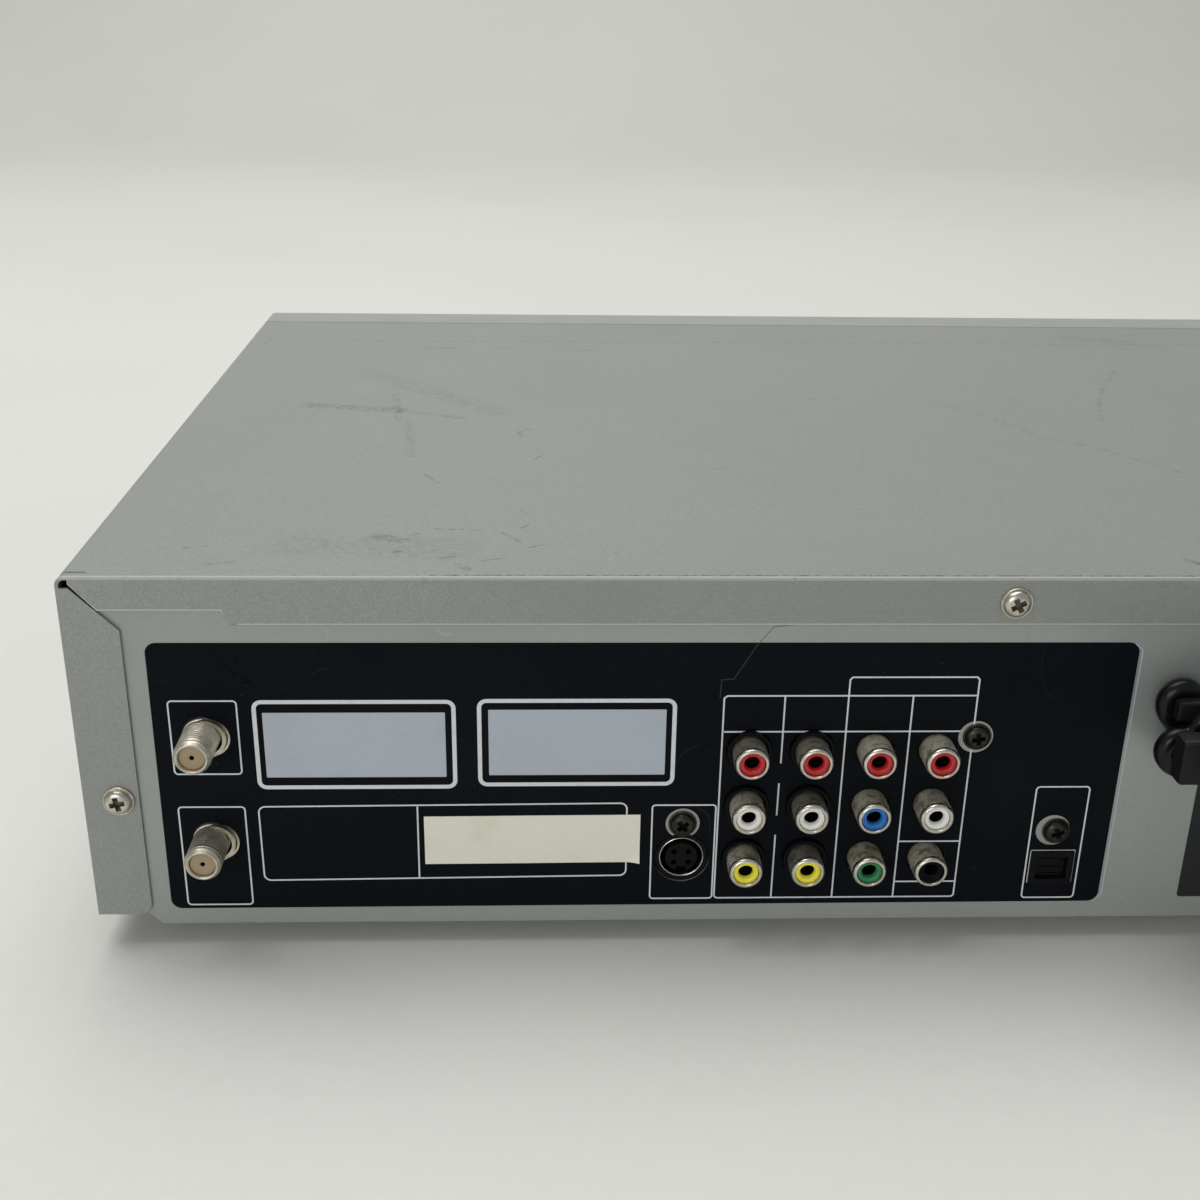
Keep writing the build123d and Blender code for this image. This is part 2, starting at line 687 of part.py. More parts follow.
def base_section(thickness):
    """Trough section of the base: flat floor, sloped lower corners and upright sides."""
    lean = thickness * (math.sqrt(2) - 1)
    half = BASE_HALF
    outer = outline(
        (half, BASE_Z + BASE_SIDE),
        (half, BASE_Z + BASE_CHAMFER),
        (half - BASE_CHAMFER, BASE_Z),
        (BASE_CHAMFER - half, BASE_Z),
        (-half, BASE_Z + BASE_CHAMFER),
        (-half, BASE_Z + BASE_SIDE),
    )
    inner = outline(
        (half - thickness, BASE_Z + BASE_SIDE),
        (half - thickness, BASE_Z + BASE_CHAMFER + lean),
        (half - BASE_CHAMFER - lean, BASE_Z + thickness),
        (BASE_CHAMFER + lean - half, BASE_Z + thickness),
        (thickness - half, BASE_Z + BASE_CHAMFER + lean),
        (thickness - half, BASE_Z + BASE_SIDE),
    )
    return outer - inner


def board_post_places():
    """Centres (x, y) of the posts under the main board and the supply board."""
    x0, x1, y0, y1 = main_board_box()
    sx0, sx1, sy0, sy1 = supply_box()
    inset = 2 * BOARD_POST_RADIUS
    main = [(x, y) for x in (x0 + inset, x1 - inset) for y in (y0 + inset, y1 - 2 * inset)]
    supply = [(x, (sy0 + sy1) / 2) for x in (sx0 + inset, sx1 - inset)]
    return main + supply


def make_base_plate():
    """Bottom pan with vent slots and board posts."""
    base = prism_y(base_section(BASE_SHEET), SEAM, PANEL_IN)
    middle_y = (SEAM + PANEL_IN) / 2
    for number in range(VENT_COUNT):
        y = middle_y + (number - (VENT_COUNT - 1) / 2) * VENT_PITCH
        for x in (DECK_X, LOADER_X):
            base -= block(x - VENT_LENGTH / 2, x + VENT_LENGTH / 2,
                          y - VENT_WIDTH / 2, y + VENT_WIDTH / 2, BASE_Z, FLOOR_Z)
    for x, y in board_post_places():
        base += upright(x, y, FLOOR_Z, BOARD_Z, BOARD_POST_RADIUS)
    return base


def make_rear_panel():
    """Flat rear plate with its corners cut off and a hole for each connector."""
    half = BASE_HALF
    top = TOP_Z - COVER_SHEET - SHEET_GAP
    plate = outline(
        (half - PANEL_CORNER_CUT, top),
        (half, top - PANEL_CORNER_CUT),
        (half, BASE_Z + BASE_CHAMFER),
        (half - BASE_CHAMFER, BASE_Z),
        (BASE_CHAMFER - half, BASE_Z),
        (-half, BASE_Z + BASE_CHAMFER),
        (-half, top - PANEL_CORNER_CUT),
        (PANEL_CORNER_CUT - half, top),
    )
    panel = prism_y(plate, PANEL_IN, PANEL_OUT)
    for row, column, x, z in jack_places():
        body = JACK_COLLAR_RADIUS if column < 2 else JACK_SHOULDER_RADIUS
        panel -= along_y(x, PANEL_IN, PANEL_OUT, z, body + JACK_HOLE_FIT)
    for x, z in rf_places():
        panel -= along_y(x - RF_HOLE_SHIFT, PANEL_IN, PANEL_OUT, z, RF_HOLE_RADIUS)
    panel -= along_y(rear_x(SVIDEO_FROM_SIDE), PANEL_IN, PANEL_OUT, rear_z(SVIDEO_FROM_TOP),
                     SVIDEO_RADIUS + SHEET_GAP)
    ox = rear_x(OPTICAL_FROM_SIDE)
    oz = rear_z(OPTICAL_FROM_TOP)
    panel -= block(ox - OPTICAL_WIDTH / 2 - SHEET_GAP, ox + OPTICAL_WIDTH / 2 + SHEET_GAP, PANEL_IN, PANEL_OUT,
                   oz - OPTICAL_HEIGHT / 2 - SHEET_GAP, oz + OPTICAL_HEIGHT / 2 + SHEET_GAP)
    for x, z in screw_places() + panel_screw_places():
        panel -= screw_hole(x, z, PANEL_IN, PANEL_OUT)
    panel -= along_y(RELIEF_X, PANEL_IN, PANEL_OUT, RELIEF_Z, RELIEF_NECK_RADIUS)
    return panel


def make_feet():
    """Four round feet."""
    profile = [
        (0, 0),
        (FOOT_RADIUS - FOOT_CHAMFER, 0),
        (FOOT_RADIUS, FOOT_CHAMFER),
        (FOOT_RADIUS, FOOT_HEIGHT),
        (0, FOOT_HEIGHT),
    ]
    foot = revolve(Plane.XZ * make_face(Polyline(*profile, close=True)), axis=Axis.Z)
    x = WIDTH / 2 - FOOT_INSET_X
    places = [(sx * x, y) for sx in (-1, 1) for y in (SEAM + FOOT_INSET_Y, REAR - FOOT_INSET_Y)]
    return group(Pos(px, py, 0) * foot for px, py in places)


# Front panel


def front_keys():
    """Name, centre x, centre z, width and height of each rectangular key."""
    disc_x = LOADER_X + TRAY_WIDTH / 2 - EJECT_WIDTH / 2
    tape_x = DECK_X + SLOT_HALF - EJECT_WIDTH / 2
    right = WIDTH / 2 - BEZEL_WALL - BEZEL_ROUND - KEY_WIDTH
    keys = [
        ("tape_eject_button", tape_x, TAPE_EJECT_Z, EJECT_WIDTH, EJECT_HEIGHT),
        ("disc_eject_button", disc_x, DISC_EJECT_Z, EJECT_WIDTH, EJECT_HEIGHT),
    ]
    for number, name in enumerate(["record_button", "play_button", "stop_button"]):
        keys.append((name, right - number * KEY_PITCH, KEY_ROW_Z, KEY_WIDTH, KEY_HEIGHT))
    return keys


def power_place():
    """Centre (x, z) of the round power button."""
    return -WIDTH / 2 + POWER_FROM_SIDE, KEY_ROW_Z


def front_jack_places():
    """Centres (x, z) of the phono jacks on the front panel."""
    first = -WIDTH / 2 + FRONT_JACK_FROM_SIDE
    return [(first + number * FRONT_JACK_PITCH, FRONT_JACK_Z) for number in range(len(FRONT_JACK_COLOURS))]


def window_x():
    """Middle of the display window, halfway between the front jacks and the keys."""
    jacks_end = front_jack_places()[-1][0] + JACK_HOUSING_MARGIN
    keys_start = min(key[1] - key[3] / 2 for key in front_keys()[2:])
    return (jacks_end + keys_start) / 2


def rounded_bar(x, z, width, height, radius, y0, y1):
    """A bar along Y with a rounded rectangular section."""
    return prism_y(Pos(x, z) * RectangleRounded(width, height, radius), y0, y1)


def make_front_bezel():
    """Moulded front panel, open at the back, with its openings, hinge ears and board posts."""
    bottom = BASE_Z - BEZEL_DROP
    face = Pos(0, (bottom + TOP_Z) / 2) * RectangleRounded(WIDTH, TOP_Z - bottom, COVER_BEND)
    bezel = prism_y(face, FRONT, SEAM)
    bezel = fillet(bezel.faces().sort_by(Axis.Y)[0].edges(), BEZEL_ROUND * 0.5)
    bezel -= block(-WIDTH / 2 + BEZEL_WALL, WIDTH / 2 - BEZEL_WALL, FRONT + BEZEL_WALL, SEAM,
                   bottom + BEZEL_WALL, TOP_Z - BEZEL_WALL)
    wall_end = FRONT + BEZEL_WALL
    bezel -= block(DECK_X - SLOT_HALF, DECK_X + SLOT_HALF, FRONT, wall_end, SLOT_Z, SLOT_TOP)
    tray_half = TRAY_FRONT_WIDTH / 2 + TRAY_FRONT_GAP
    tray_z0 = TRAY_Z - TRAY_FRONT_BELOW - TRAY_FRONT_GAP
    bezel -= block(LOADER_X - tray_half, LOADER_X + tray_half, FRONT, wall_end,
                   tray_z0, tray_z0 + TRAY_FRONT_HEIGHT + 2 * TRAY_FRONT_GAP)
    bezel -= rounded_bar(window_x(), WINDOW_Z, WINDOW_WIDTH, WINDOW_HEIGHT, BEZEL_ROUND, FRONT, wall_end)
    for name, x, z, width, height in front_keys():
        bezel -= rounded_bar(x, z, width + 2 * BUTTON_FIT, height + 2 * BUTTON_FIT,
                             BUTTON_ROUND + BUTTON_FIT, FRONT, wall_end)
    px, pz = power_place()
    bezel -= along_y(px, FRONT, wall_end, pz, POWER_RADIUS + BUTTON_FIT)
    for x, z in front_jack_places():
        bezel -= along_y(x, FRONT, wall_end, z, JACK_COLLAR_RADIUS + JACK_HOLE_FIT)
    for side in (-1, 1):
        inner = DECK_X + side * (SLOT_HALF + BEZEL_EAR_GAP)
        outer = inner + side * BEZEL_EAR
        ear_half = DOOR_PIN_RADIUS + BEZEL_WALL / 2
        ear = block(min(inner, outer), max(inner, outer), wall_end, DOOR_AXIS_Y + ear_half,
                    DOOR_AXIS_Z - ear_half, DOOR_AXIS_Z + ear_half)
        ear -= along_x(min(inner, outer), max(inner, outer), DOOR_AXIS_Y, DOOR_AXIS_Z,
                       DOOR_PIN_RADIUS + HINGE_FIT)
        bezel += ear
    for x, z in key_board_posts():
        bezel += along_y(x, wall_end, FRONT + KEY_BOARD_BACK, z, BOARD_POST_RADIUS)
    return bezel


def key_board_posts():
    """Centres (x, z) of the posts that carry the key board."""
    half = WIDTH / 2 - KEY_BOARD_INSET - 2 * BOARD_POST_RADIUS
    return [(x, KEY_BOARD_BOTTOM + 2 * BOARD_POST_RADIUS) for x in (-half, half)] + \
        [(x, KEY_BOARD_TOP - BOARD_POST_RADIUS) for x in (-half, half)]


def make_display_window():
    """Smoked window set into the front panel, with a flange behind the wall."""
    wall_end = FRONT + BEZEL_WALL
    fit = 2 * WINDOW_FIT
    pane = rounded_bar(window_x(), WINDOW_Z, WINDOW_WIDTH - fit, WINDOW_HEIGHT - fit, BEZEL_ROUND - WINDOW_FIT,
                       FRONT + WINDOW_SET_BACK, wall_end)
    flange = rounded_bar(window_x(), WINDOW_Z, WINDOW_WIDTH + 2 * WINDOW_FLANGE, WINDOW_HEIGHT + 2 * WINDOW_FLANGE,
                         BEZEL_ROUND, wall_end, wall_end + WINDOW_FLANGE_THICK)
    return pane + flange


def button_stem_end():
    """Rear end of every button stem, clear of its switch when the button is pressed."""
    return FRONT + KEY_BOARD_BACK - SWITCH_HEIGHT - BUTTON_TRAVEL - SWITCH_GAP


def make_key(x, z, width, height):
    """A rectangular button: cap, retaining flange behind the wall and stem."""
    wall_end = FRONT + BEZEL_WALL
    flange_end = wall_end + BUTTON_FLANGE_THICK
    cap = rounded_bar(x, z, width, height, BUTTON_ROUND, FRONT - BUTTON_PROUD, wall_end)
    flange = rounded_bar(x, z, width + 2 * BUTTON_FLANGE, height + 2 * BUTTON_FLANGE, BUTTON_ROUND,
                         wall_end, flange_end)
    stem = block(x - SWITCH_SIDE / 4, x + SWITCH_SIDE / 4, flange_end, button_stem_end(),
                 z - SWITCH_SIDE / 4, z + SWITCH_SIDE / 4)
    return cap + flange + stem


def make_power_button():
    """The round power button, with a dished face."""
    x, z = power_place()
    wall_end = FRONT + BEZEL_WALL
    dish = BUTTON_PROUD / 2
    profile = [
        (0, FRONT - BUTTON_PROUD + dish),
        (POWER_RADIUS * 0.6, FRONT - BUTTON_PROUD + dish * 0.7),
        (POWER_RADIUS * 0.85, FRONT - BUTTON_PROUD),
        (POWER_RADIUS, FRONT - BUTTON_PROUD + dish),
        (POWER_RADIUS, wall_end),
        (POWER_RADIUS + BUTTON_FLANGE, wall_end),
        (POWER_RADIUS + BUTTON_FLANGE, wall_end + BUTTON_FLANGE_THICK),
        (SWITCH_SIDE / 4, wall_end + BUTTON_FLANGE_THICK),
        (SWITCH_SIDE / 4, button_stem_end()),
        (0, button_stem_end()),
    ]
    return turned(profile, x, z)


def make_key_board():
    """Circuit board behind the front panel, with a switch behind each button."""
    half = WIDTH / 2 - KEY_BOARD_INSET
    y0 = FRONT + KEY_BOARD_BACK
    board = block(-half, half, y0, y0 + BOARD_THICK, KEY_BOARD_BOTTOM, KEY_BOARD_TOP)
    places = [(key[1], key[2]) for key in front_keys()] + [power_place()]
    side = SWITCH_SIDE / 2
    for x, z in places:
        board += block(x - side, x + side, y0 - SWITCH_HEIGHT, y0, z - side, z + side)
    return board


def make_cassette_door():
    """Flap over the cassette slot, hung on two pins near its upper edge."""
    half = SLOT_HALF - DOOR_GAP
    door = block(DECK_X - half, DECK_X + half, FRONT, FRONT + DOOR_THICK, SLOT_Z + DOOR_GAP, SLOT_TOP - DOOR_GAP)
    for side in (-1, 1):
        outer = DECK_X + side * half
        inner = outer - side * DOOR_EAR
        tip = DECK_X + side * (SLOT_HALF + BEZEL_EAR_GAP + BEZEL_EAR)
        ear = block(min(outer, inner), max(outer, inner), FRONT + DOOR_THICK, DOOR_AXIS_Y,
                    DOOR_AXIS_Z - DOOR_PIN_RADIUS, DOOR_AXIS_Z + DOOR_PIN_RADIUS)
        door += ear
        door += along_x(min(inner, tip), max(inner, tip), DOOR_AXIS_Y, DOOR_AXIS_Z, DOOR_PIN_RADIUS)
    return door


# Connectors


def jack_places():
    """Row, column, x and z of each phono jack on the rear panel."""
    for row, colours in enumerate(JACK_COLOURS):
        for column in range(len(colours)):
            x = rear_x(JACK_FROM_SIDE + column * JACK_COLUMN_PITCH)
            yield row, column, x, rear_z(JACK_FROM_TOP + row * JACK_ROW_PITCH)


def rf_places():
    """Centres (x, z) of the two aerial connectors."""
    x = rear_x(RF_FROM_SIDE)
    return [(x, rear_z(RF_UPPER_FROM_TOP)), (x, rear_z(RF_LOWER_FROM_TOP))]


def jack_shell(length):
    """Plated sleeve of a phono jack along +Y from its seat, with a shoulder and a rounded rim."""
    inner = JACK_RADIUS - JACK_WALL
    shoulder = PANEL_SHEET + JACK_COLLAR_REACH
    return [
        (inner, 0),
        (JACK_SHOULDER_RADIUS, 0),
        (JACK_SHOULDER_RADIUS, shoulder),
        (JACK_RADIUS, shoulder),
        (JACK_RADIUS, length - JACK_RIM),
        (JACK_RADIUS - JACK_RIM, length),
        (inner, length),
    ]


def jack_insert(length):
    """Coloured insulator of a phono jack, with the hole for the centre pin."""
    outer = JACK_RADIUS - JACK_WALL - JACK_INSERT_FIT
    end = length - JACK_INSERT_SET_BACK
    return [
        (0, 0),
        (outer, 0),
        (outer, end),
        (JACK_PIN_RADIUS, end),
        (JACK_PIN_RADIUS, end - JACK_PIN_DEPTH),
        (0, end - JACK_PIN_DEPTH),
    ]


def facing_front(shape):
    """Turn a piece that points along +Y so that it points to the front."""
    return Rot(0, 0, 180) * shape


def jack_pieces(profile, colours=None):
    """One turned piece for each jack, rear and front, or only for the jacks of the given colour."""
    pieces = []
    rear_length = JACK_TIP - PANEL_IN
    for row, column, x, z in jack_places():
        if colours is None or JACK_COLOURS[row][column] in colours:
            pieces.append(turned(profile(rear_length), x, z, PANEL_IN))
    for (x, z), colour in zip(front_jack_places(), FRONT_JACK_COLOURS):
        if colours is None or colour in colours:
            piece = facing_front(turned(profile(FRONT_JACK_DEPTH), 0, 0))
            pieces.append(Pos(x, FRONT + FRONT_JACK_DEPTH, z) * piece)
    return pieces


def make_jack_shells():
    """Plated sleeves of all phono jacks, and the shield ring of the S-video socket."""
    ring = [
        (SVIDEO_SHIELD_RADIUS - SVIDEO_SHIELD_WALL, -SVIDEO_DEPTH),
        (SVIDEO_SHIELD_RADIUS, -SVIDEO_DEPTH),
        (SVIDEO_SHIELD_RADIUS, -SVIDEO_RECESS),
        (SVIDEO_SHIELD_RADIUS - SVIDEO_SHIELD_WALL, -SVIDEO_RECESS),
    ]
    shield = turned(ring, rear_x(SVIDEO_FROM_SIDE), rear_z(SVIDEO_FROM_TOP), PANEL_OUT)
    return group(jack_pieces(jack_shell) + [shield])


def make_jack_inserts(colour):
    """Insulators of one colour."""
    return group(jack_pieces(jack_insert, [colour]))


def make_jack_housings():
    """Black jack mouldings: two rear blocks, the front block and the insert of the coaxial jack."""
    z0 = BOARD_TOP
    z1 = rear_z(JACK_FROM_TOP) + JACK_HOUSING_MARGIN
    back = PANEL_IN - JACK_HOUSING_DEPTH
    blocks = []
    for first in (0, 2):
        left = rear_x(JACK_FROM_SIDE + (first + 1) * JACK_COLUMN_PITCH) - JACK_HOUSING_MARGIN
        right = rear_x(JACK_FROM_SIDE + first * JACK_COLUMN_PITCH) + JACK_HOUSING_MARGIN
        housing = block(left, right, back, PANEL_IN, z0, z1)
        for row, column, x, z in jack_places():
            if column in (first, first + 1) and first == 0:
                collar = along_y(x, PANEL_IN, PANEL_OUT + JACK_COLLAR_REACH, z, JACK_COLLAR_RADIUS)
                housing += collar - along_y(x, PANEL_IN, PANEL_OUT + JACK_COLLAR_REACH, z, JACK_SHOULDER_RADIUS)
        if first == 2:
            sx = rear_x(JACK_SCREW_FROM_SIDE)
            sz = rear_z(JACK_SCREW_FROM_TOP)
            housing += block(sx - JACK_TAB_WIDTH / 2, left, back, PANEL_IN,
                             sz - JACK_TAB_HEIGHT / 2, sz + JACK_TAB_HEIGHT / 2)
            housing -= screw_hole(sx, sz, PANEL_OUT - SCREW_LENGTH, PANEL_IN)
        blocks.append(housing)
    places = front_jack_places()
    y0 = FRONT + FRONT_JACK_DEPTH
    blocks.append(block(places[0][0] - JACK_HOUSING_MARGIN, places[-1][0] + JACK_HOUSING_MARGIN,
                        y0, FRONT + KEY_BOARD_BACK,
                        FRONT_JACK_Z - JACK_HOUSING_MARGIN, FRONT_JACK_Z + JACK_HOUSING_MARGIN))
    return group(blocks + jack_pieces(jack_insert, ["black"]))


def make_tuner_can():
    """Sheet-metal tuner box behind the aerial connectors, open towards the board."""
    x = rear_x(RF_FROM_SIDE)
    top = rear_z(RF_UPPER_FROM_TOP) + TUNER_ABOVE
    half = TUNER_WIDTH / 2
    room = half - TUNER_SHEET
    can = block(x - half, x + half, PANEL_IN - TUNER_DEPTH, PANEL_IN, BOARD_TOP, top)
    return can - block(x - room, x + room, PANEL_IN - TUNER_DEPTH + TUNER_SHEET, PANEL_IN - TUNER_SHEET,
                       BOARD_TOP, top - TUNER_SHEET)


def make_rf_connectors():
    """Two aerial connectors: collar against the tuner, barrel with a chamfered tip and an open front."""
    tip = RF_REACH + PANEL_SHEET
    bore = RF_RADIUS - RF_WALL
    profile = [
        (0, 0),
        (RF_COLLAR_RADIUS, 0),
        (RF_COLLAR_RADIUS, RF_COLLAR_REACH),
        (RF_RADIUS, RF_COLLAR_REACH),
        (RF_RADIUS, tip - RF_CHAMFER),
        (RF_RADIUS - RF_CHAMFER, tip),
        (bore, tip),
        (bore, tip - RF_CORE_DEPTH),
        (0, tip - RF_CORE_DEPTH),
    ]
    return group(turned(profile, x, z, PANEL_IN) for x, z in rf_places())


def make_rf_insulators():
    """Insulating cores of the aerial connectors, with the hole for the inner conductor."""
    tip = RF_REACH + PANEL_SHEET
    outer = RF_RADIUS - RF_WALL - RF_CORE_FIT
    end = tip - RF_CORE_SET_BACK
    profile = [
        (0, tip - RF_CORE_DEPTH),
        (outer, tip - RF_CORE_DEPTH),
        (outer, end),
        (RF_CONTACT_RADIUS, end),
        (RF_CONTACT_RADIUS, end - RF_CORE_DEPTH / 2),
        (0, end - RF_CORE_DEPTH / 2),
    ]
    return group(turned(profile, x, z, PANEL_IN) for x, z in rf_places())


def make_svideo_socket():
    """Round socket with a ring groove for its shield, four pin holes and a key slot."""
    x = rear_x(SVIDEO_FROM_SIDE)
    z = rear_z(SVIDEO_FROM_TOP)
    screw_z = rear_z(SVIDEO_SCREW_FROM_TOP)
    half = SVIDEO_BODY / 2
    end = PANEL_OUT - SVIDEO_RECESS
    body = block(x - half, x + half, PANEL_IN - SVIDEO_BODY_DEPTH, PANEL_IN, BOARD_TOP, screw_z + half / 2)
    body += along_y(x, PANEL_IN, end, z, SVIDEO_RADIUS)
    groove = along_y(x, PANEL_OUT - SVIDEO_DEPTH, end, z, SVIDEO_SHIELD_RADIUS)
    body -= groove - along_y(x, PANEL_OUT - SVIDEO_DEPTH, end, z, SVIDEO_CORE_RADIUS)
    for angle in (40, 140, 220, 320):
        dx = SVIDEO_PIN_RING * math.cos(math.radians(angle))
        dz = SVIDEO_PIN_RING * math.sin(math.radians(angle))
        body -= along_y(x + dx, PANEL_OUT - SVIDEO_DEPTH, PANEL_OUT, z + dz, SVIDEO_PIN_RADIUS)
    body -= block(x - SVIDEO_KEY_WIDTH / 2, x + SVIDEO_KEY_WIDTH / 2, PANEL_OUT - SVIDEO_DEPTH, PANEL_OUT,
                  z - SVIDEO_CORE_RADIUS, z - SVIDEO_CORE_RADIUS + SVIDEO_KEY_HEIGHT)
    body -= screw_hole(x, screw_z, PANEL_OUT - SCREW_LENGTH, PANEL_IN)
    return body


def make_optical_socket():
    """Square optical socket, hollow behind its shutter, with a screw tab above."""
    x = rear_x(OPTICAL_FROM_SIDE)
    z = rear_z(OPTICAL_FROM_TOP)
    screw_z = rear_z(OPTICAL_SCREW_FROM_TOP)
    half = OPTICAL_BODY_WIDTH / 2
    end = PANEL_OUT + OPTICAL_PROUD
    body = block(x - half, x + half, PANEL_IN - OPTICAL_BODY_DEPTH, PANEL_IN, BOARD_TOP, screw_z + OPTICAL_TAB)
    body += block(x - OPTICAL_WIDTH / 2, x + OPTICAL_WIDTH / 2, PANEL_IN, end,
                  z - OPTICAL_HEIGHT / 2, z + OPTICAL_HEIGHT / 2)
    inner_x = OPTICAL_WIDTH / 2 - OPTICAL_WALL
    inner_z = OPTICAL_HEIGHT / 2 - OPTICAL_WALL
    body -= block(x - inner_x, x + inner_x, end - OPTICAL_SOCKET_DEPTH, end, z - inner_z, z + inner_z)
    axis_y, axis_z = shutter_axis()
    pin_half = inner_x - SHUTTER_GAP + SHUTTER_PIN_LENGTH
    body -= along_x(x - pin_half, x + pin_half, axis_y, axis_z, SHUTTER_PIN_RADIUS + HINGE_FIT)
    body -= screw_hole(x, screw_z, PANEL_OUT - SCREW_LENGTH, PANEL_IN)
    return body


def shutter_axis():
    """Y and Z of the hinge line of the optical shutter."""
    y = PANEL_OUT + OPTICAL_PROUD - SHUTTER_SET_BACK - SHUTTER_THICK / 2
    z = rear_z(OPTICAL_FROM_TOP) + OPTICAL_HEIGHT / 2 - OPTICAL_WALL - SHUTTER_THICK / 2 - SHUTTER_GAP
    return y, z


def make_optical_shutter():
    """Small flap that closes the optical socket, hung on two stub pins at its upper edge."""
    x = rear_x(OPTICAL_FROM_SIDE)
    z = rear_z(OPTICAL_FROM_TOP)
    axis_y, axis_z = shutter_axis()
    half = OPTICAL_WIDTH / 2 - OPTICAL_WALL - SHUTTER_GAP
    bottom = z - OPTICAL_HEIGHT / 2 + OPTICAL_WALL + SHUTTER_GAP
    flap = block(x - half, x + half, axis_y - SHUTTER_THICK / 2, axis_y + SHUTTER_THICK / 2, bottom, axis_z)
    flap += along_x(x - half, x + half, axis_y, axis_z, SHUTTER_THICK / 2)
    pin_half = half + SHUTTER_PIN_LENGTH - SHUTTER_GAP
    return flap + along_x(x - pin_half, x + pin_half, axis_y, axis_z, SHUTTER_PIN_RADIUS)


# Boards


def main_board_box():
    """Edges x0, x1, y0, y1 of the main board, beside the tape deck and under the disc loader."""
    x0 = DECK_X + DECK_HALF + MAIN_BOARD_GAP
    x1 = WIDTH / 2 - BASE_CHAMFER - MAIN_BOARD_INSET
    return x0, x1, SEAM + MAIN_BOARD_FRONT, PANEL_IN - BOARD_BACK_GAP


def supply_box():
    """Edges x0, x1, y0, y1 of the power supply board, behind the tape deck."""
    x0 = -WIDTH / 2 + BASE_CHAMFER + SUPPLY_INSET
    return x0, x0 + SUPPLY_LENGTH, DECK_END + SUPPLY_GAP, PANEL_IN - RELIEF_IN - BOARD_BACK_GAP


def loader_leg_places():
    """Centres (x, y) of the four legs of the disc loader."""
    half = LOADER_HALF - LOADER_LEG_INSET
    return [(LOADER_X + side * half, y) for side in (-1, 1)
            for y in (LOADER_Y0 + LOADER_LEG_INSET, LOADER_Y1 - LOADER_LEG_INSET)]


def make_main_board():
    """Main circuit board with its larger chips, cut out round the loader legs."""
    x0, x1, y0, y1 = main_board_box()
    board = block(x0, x1, y0, y1, BOARD_Z, BOARD_TOP)
    for x, y in loader_leg_places():
        board -= upright(x, y, BOARD_Z, BOARD_TOP, LOADER_LEG_RADIUS + LEG_HOLE_FIT)
    half = CHIP_SIDE / 2
    for number in range(3):
        x = LOADER_X + (number - 1) * CHIP_PITCH
        board += block(x - half, x + half, SPINDLE_Y - half, SPINDLE_Y + half, BOARD_TOP, BOARD_TOP + CHIP_HEIGHT)
    return board


def make_power_supply():
    """Power supply board with its transformer and storage capacitors."""
    x0, x1, y0, y1 = supply_box()
    middle = (y0 + y1) / 2
    board = block(x0, x1, y0, y1, BOARD_Z, BOARD_TOP)
    tx = x0 + TRANSFORMER_WIDTH
    depth = min(TRANSFORMER_DEPTH, y1 - y0)
    transformer = block(tx - TRANSFORMER_WIDTH / 2, tx + TRANSFORMER_WIDTH / 2, middle - depth / 2,
                        middle + depth / 2, BOARD_TOP, BOARD_TOP + TRANSFORMER_HEIGHT)
    first = tx + TRANSFORMER_WIDTH / 2 + CAPACITOR_PITCH
    cans = [upright(first + number * CAPACITOR_PITCH, middle, BOARD_TOP, BOARD_TOP + CAPACITOR_HEIGHT,
                    CAPACITOR_RADIUS) for number in range(3)]
    return group([board, transformer] + cans)


# Tape deck


def slot_in_z(start, end, width, z0, z1):
    """A round-ended slot between two places, cut along Z."""
    middle = ((start[0] + end[0]) / 2, (start[1] + end[1]) / 2)
    length = math.hypot(end[0] - start[0], end[1] - start[1])
    angle = math.degrees(math.atan2(end[1] - start[1], end[0] - start[0]))
    sketch = Pos(*middle) * Rot(0, 0, angle) * SlotCenterToCenter(length, width)
    return prism_z(sketch, z0, z1)


def guide_ends(side):
    """Start and end (x, y) of a tape guide's travel."""
    return (DECK_X + side * GUIDE_START_X, GUIDE_START_Y), (DECK_X + side * GUIDE_END_X, GUIDE_END_Y)


def guide_slot(side):
    """Slot in the deck that a tape guide runs in, longer than its travel by the key at both ends."""
    start, end = guide_ends(side)
    reach = (GUIDE_LENGTH - GUIDE_SLOT) / 2 / GUIDE_TRAVEL
    shift = ((end[0] - start[0]) * reach, (end[1] - start[1]) * reach)
    return slot_in_z((start[0] - shift[0], start[1] - shift[1]), (end[0] + shift[0], end[1] + shift[1]),
                     GUIDE_SLOT + 2 * SLIDE_FIT, DECK_Z, DECK_TOP)


def make_deck_plate():
    """Pressed deck plate with legs, bearing, pivot posts and guide slots."""
    deck = block(DECK_X - DECK_HALF, DECK_X + DECK_HALF, SEAM + DECK_FRONT, DECK_END, DECK_Z, DECK_TOP)
    for side in (-1, 1):
        deck -= guide_slot(side)
    for x in (-DECK_HALF + DECK_LEG_INSET, DECK_HALF - DECK_LEG_INSET):
        for y in (SEAM + DECK_FRONT + DECK_LEG_INSET, DECK_END - DECK_LEG_INSET):
            deck += upright(DECK_X + x, y, FLOOR_Z, DECK_Z, DECK_LEG_RADIUS)
    deck += upright(CAPSTAN_X, CAPSTAN_Y, DECK_Z - BEARING_BELOW, DECK_TOP + BEARING_ABOVE, BEARING_RADIUS)
    deck -= upright(CAPSTAN_X, CAPSTAN_Y, DECK_Z - BEARING_BELOW, DECK_TOP + BEARING_ABOVE,
                    CAPSTAN_RADIUS + SHAFT_FIT)
    deck += upright(PIVOT_X, PIVOT_Y, DECK_TOP, PINCH_ARM_Z + PINCH_HUB_HEIGHT, PINCH_PIVOT_RADIUS)
    for side in (-1, 1):
        deck += upright(DECK_X + side * REEL_SPACING / 2, REEL_Y, DECK_TOP, DECK_TOP + REEL_POST_HEIGHT,
                        REEL_POST_RADIUS)
    return deck


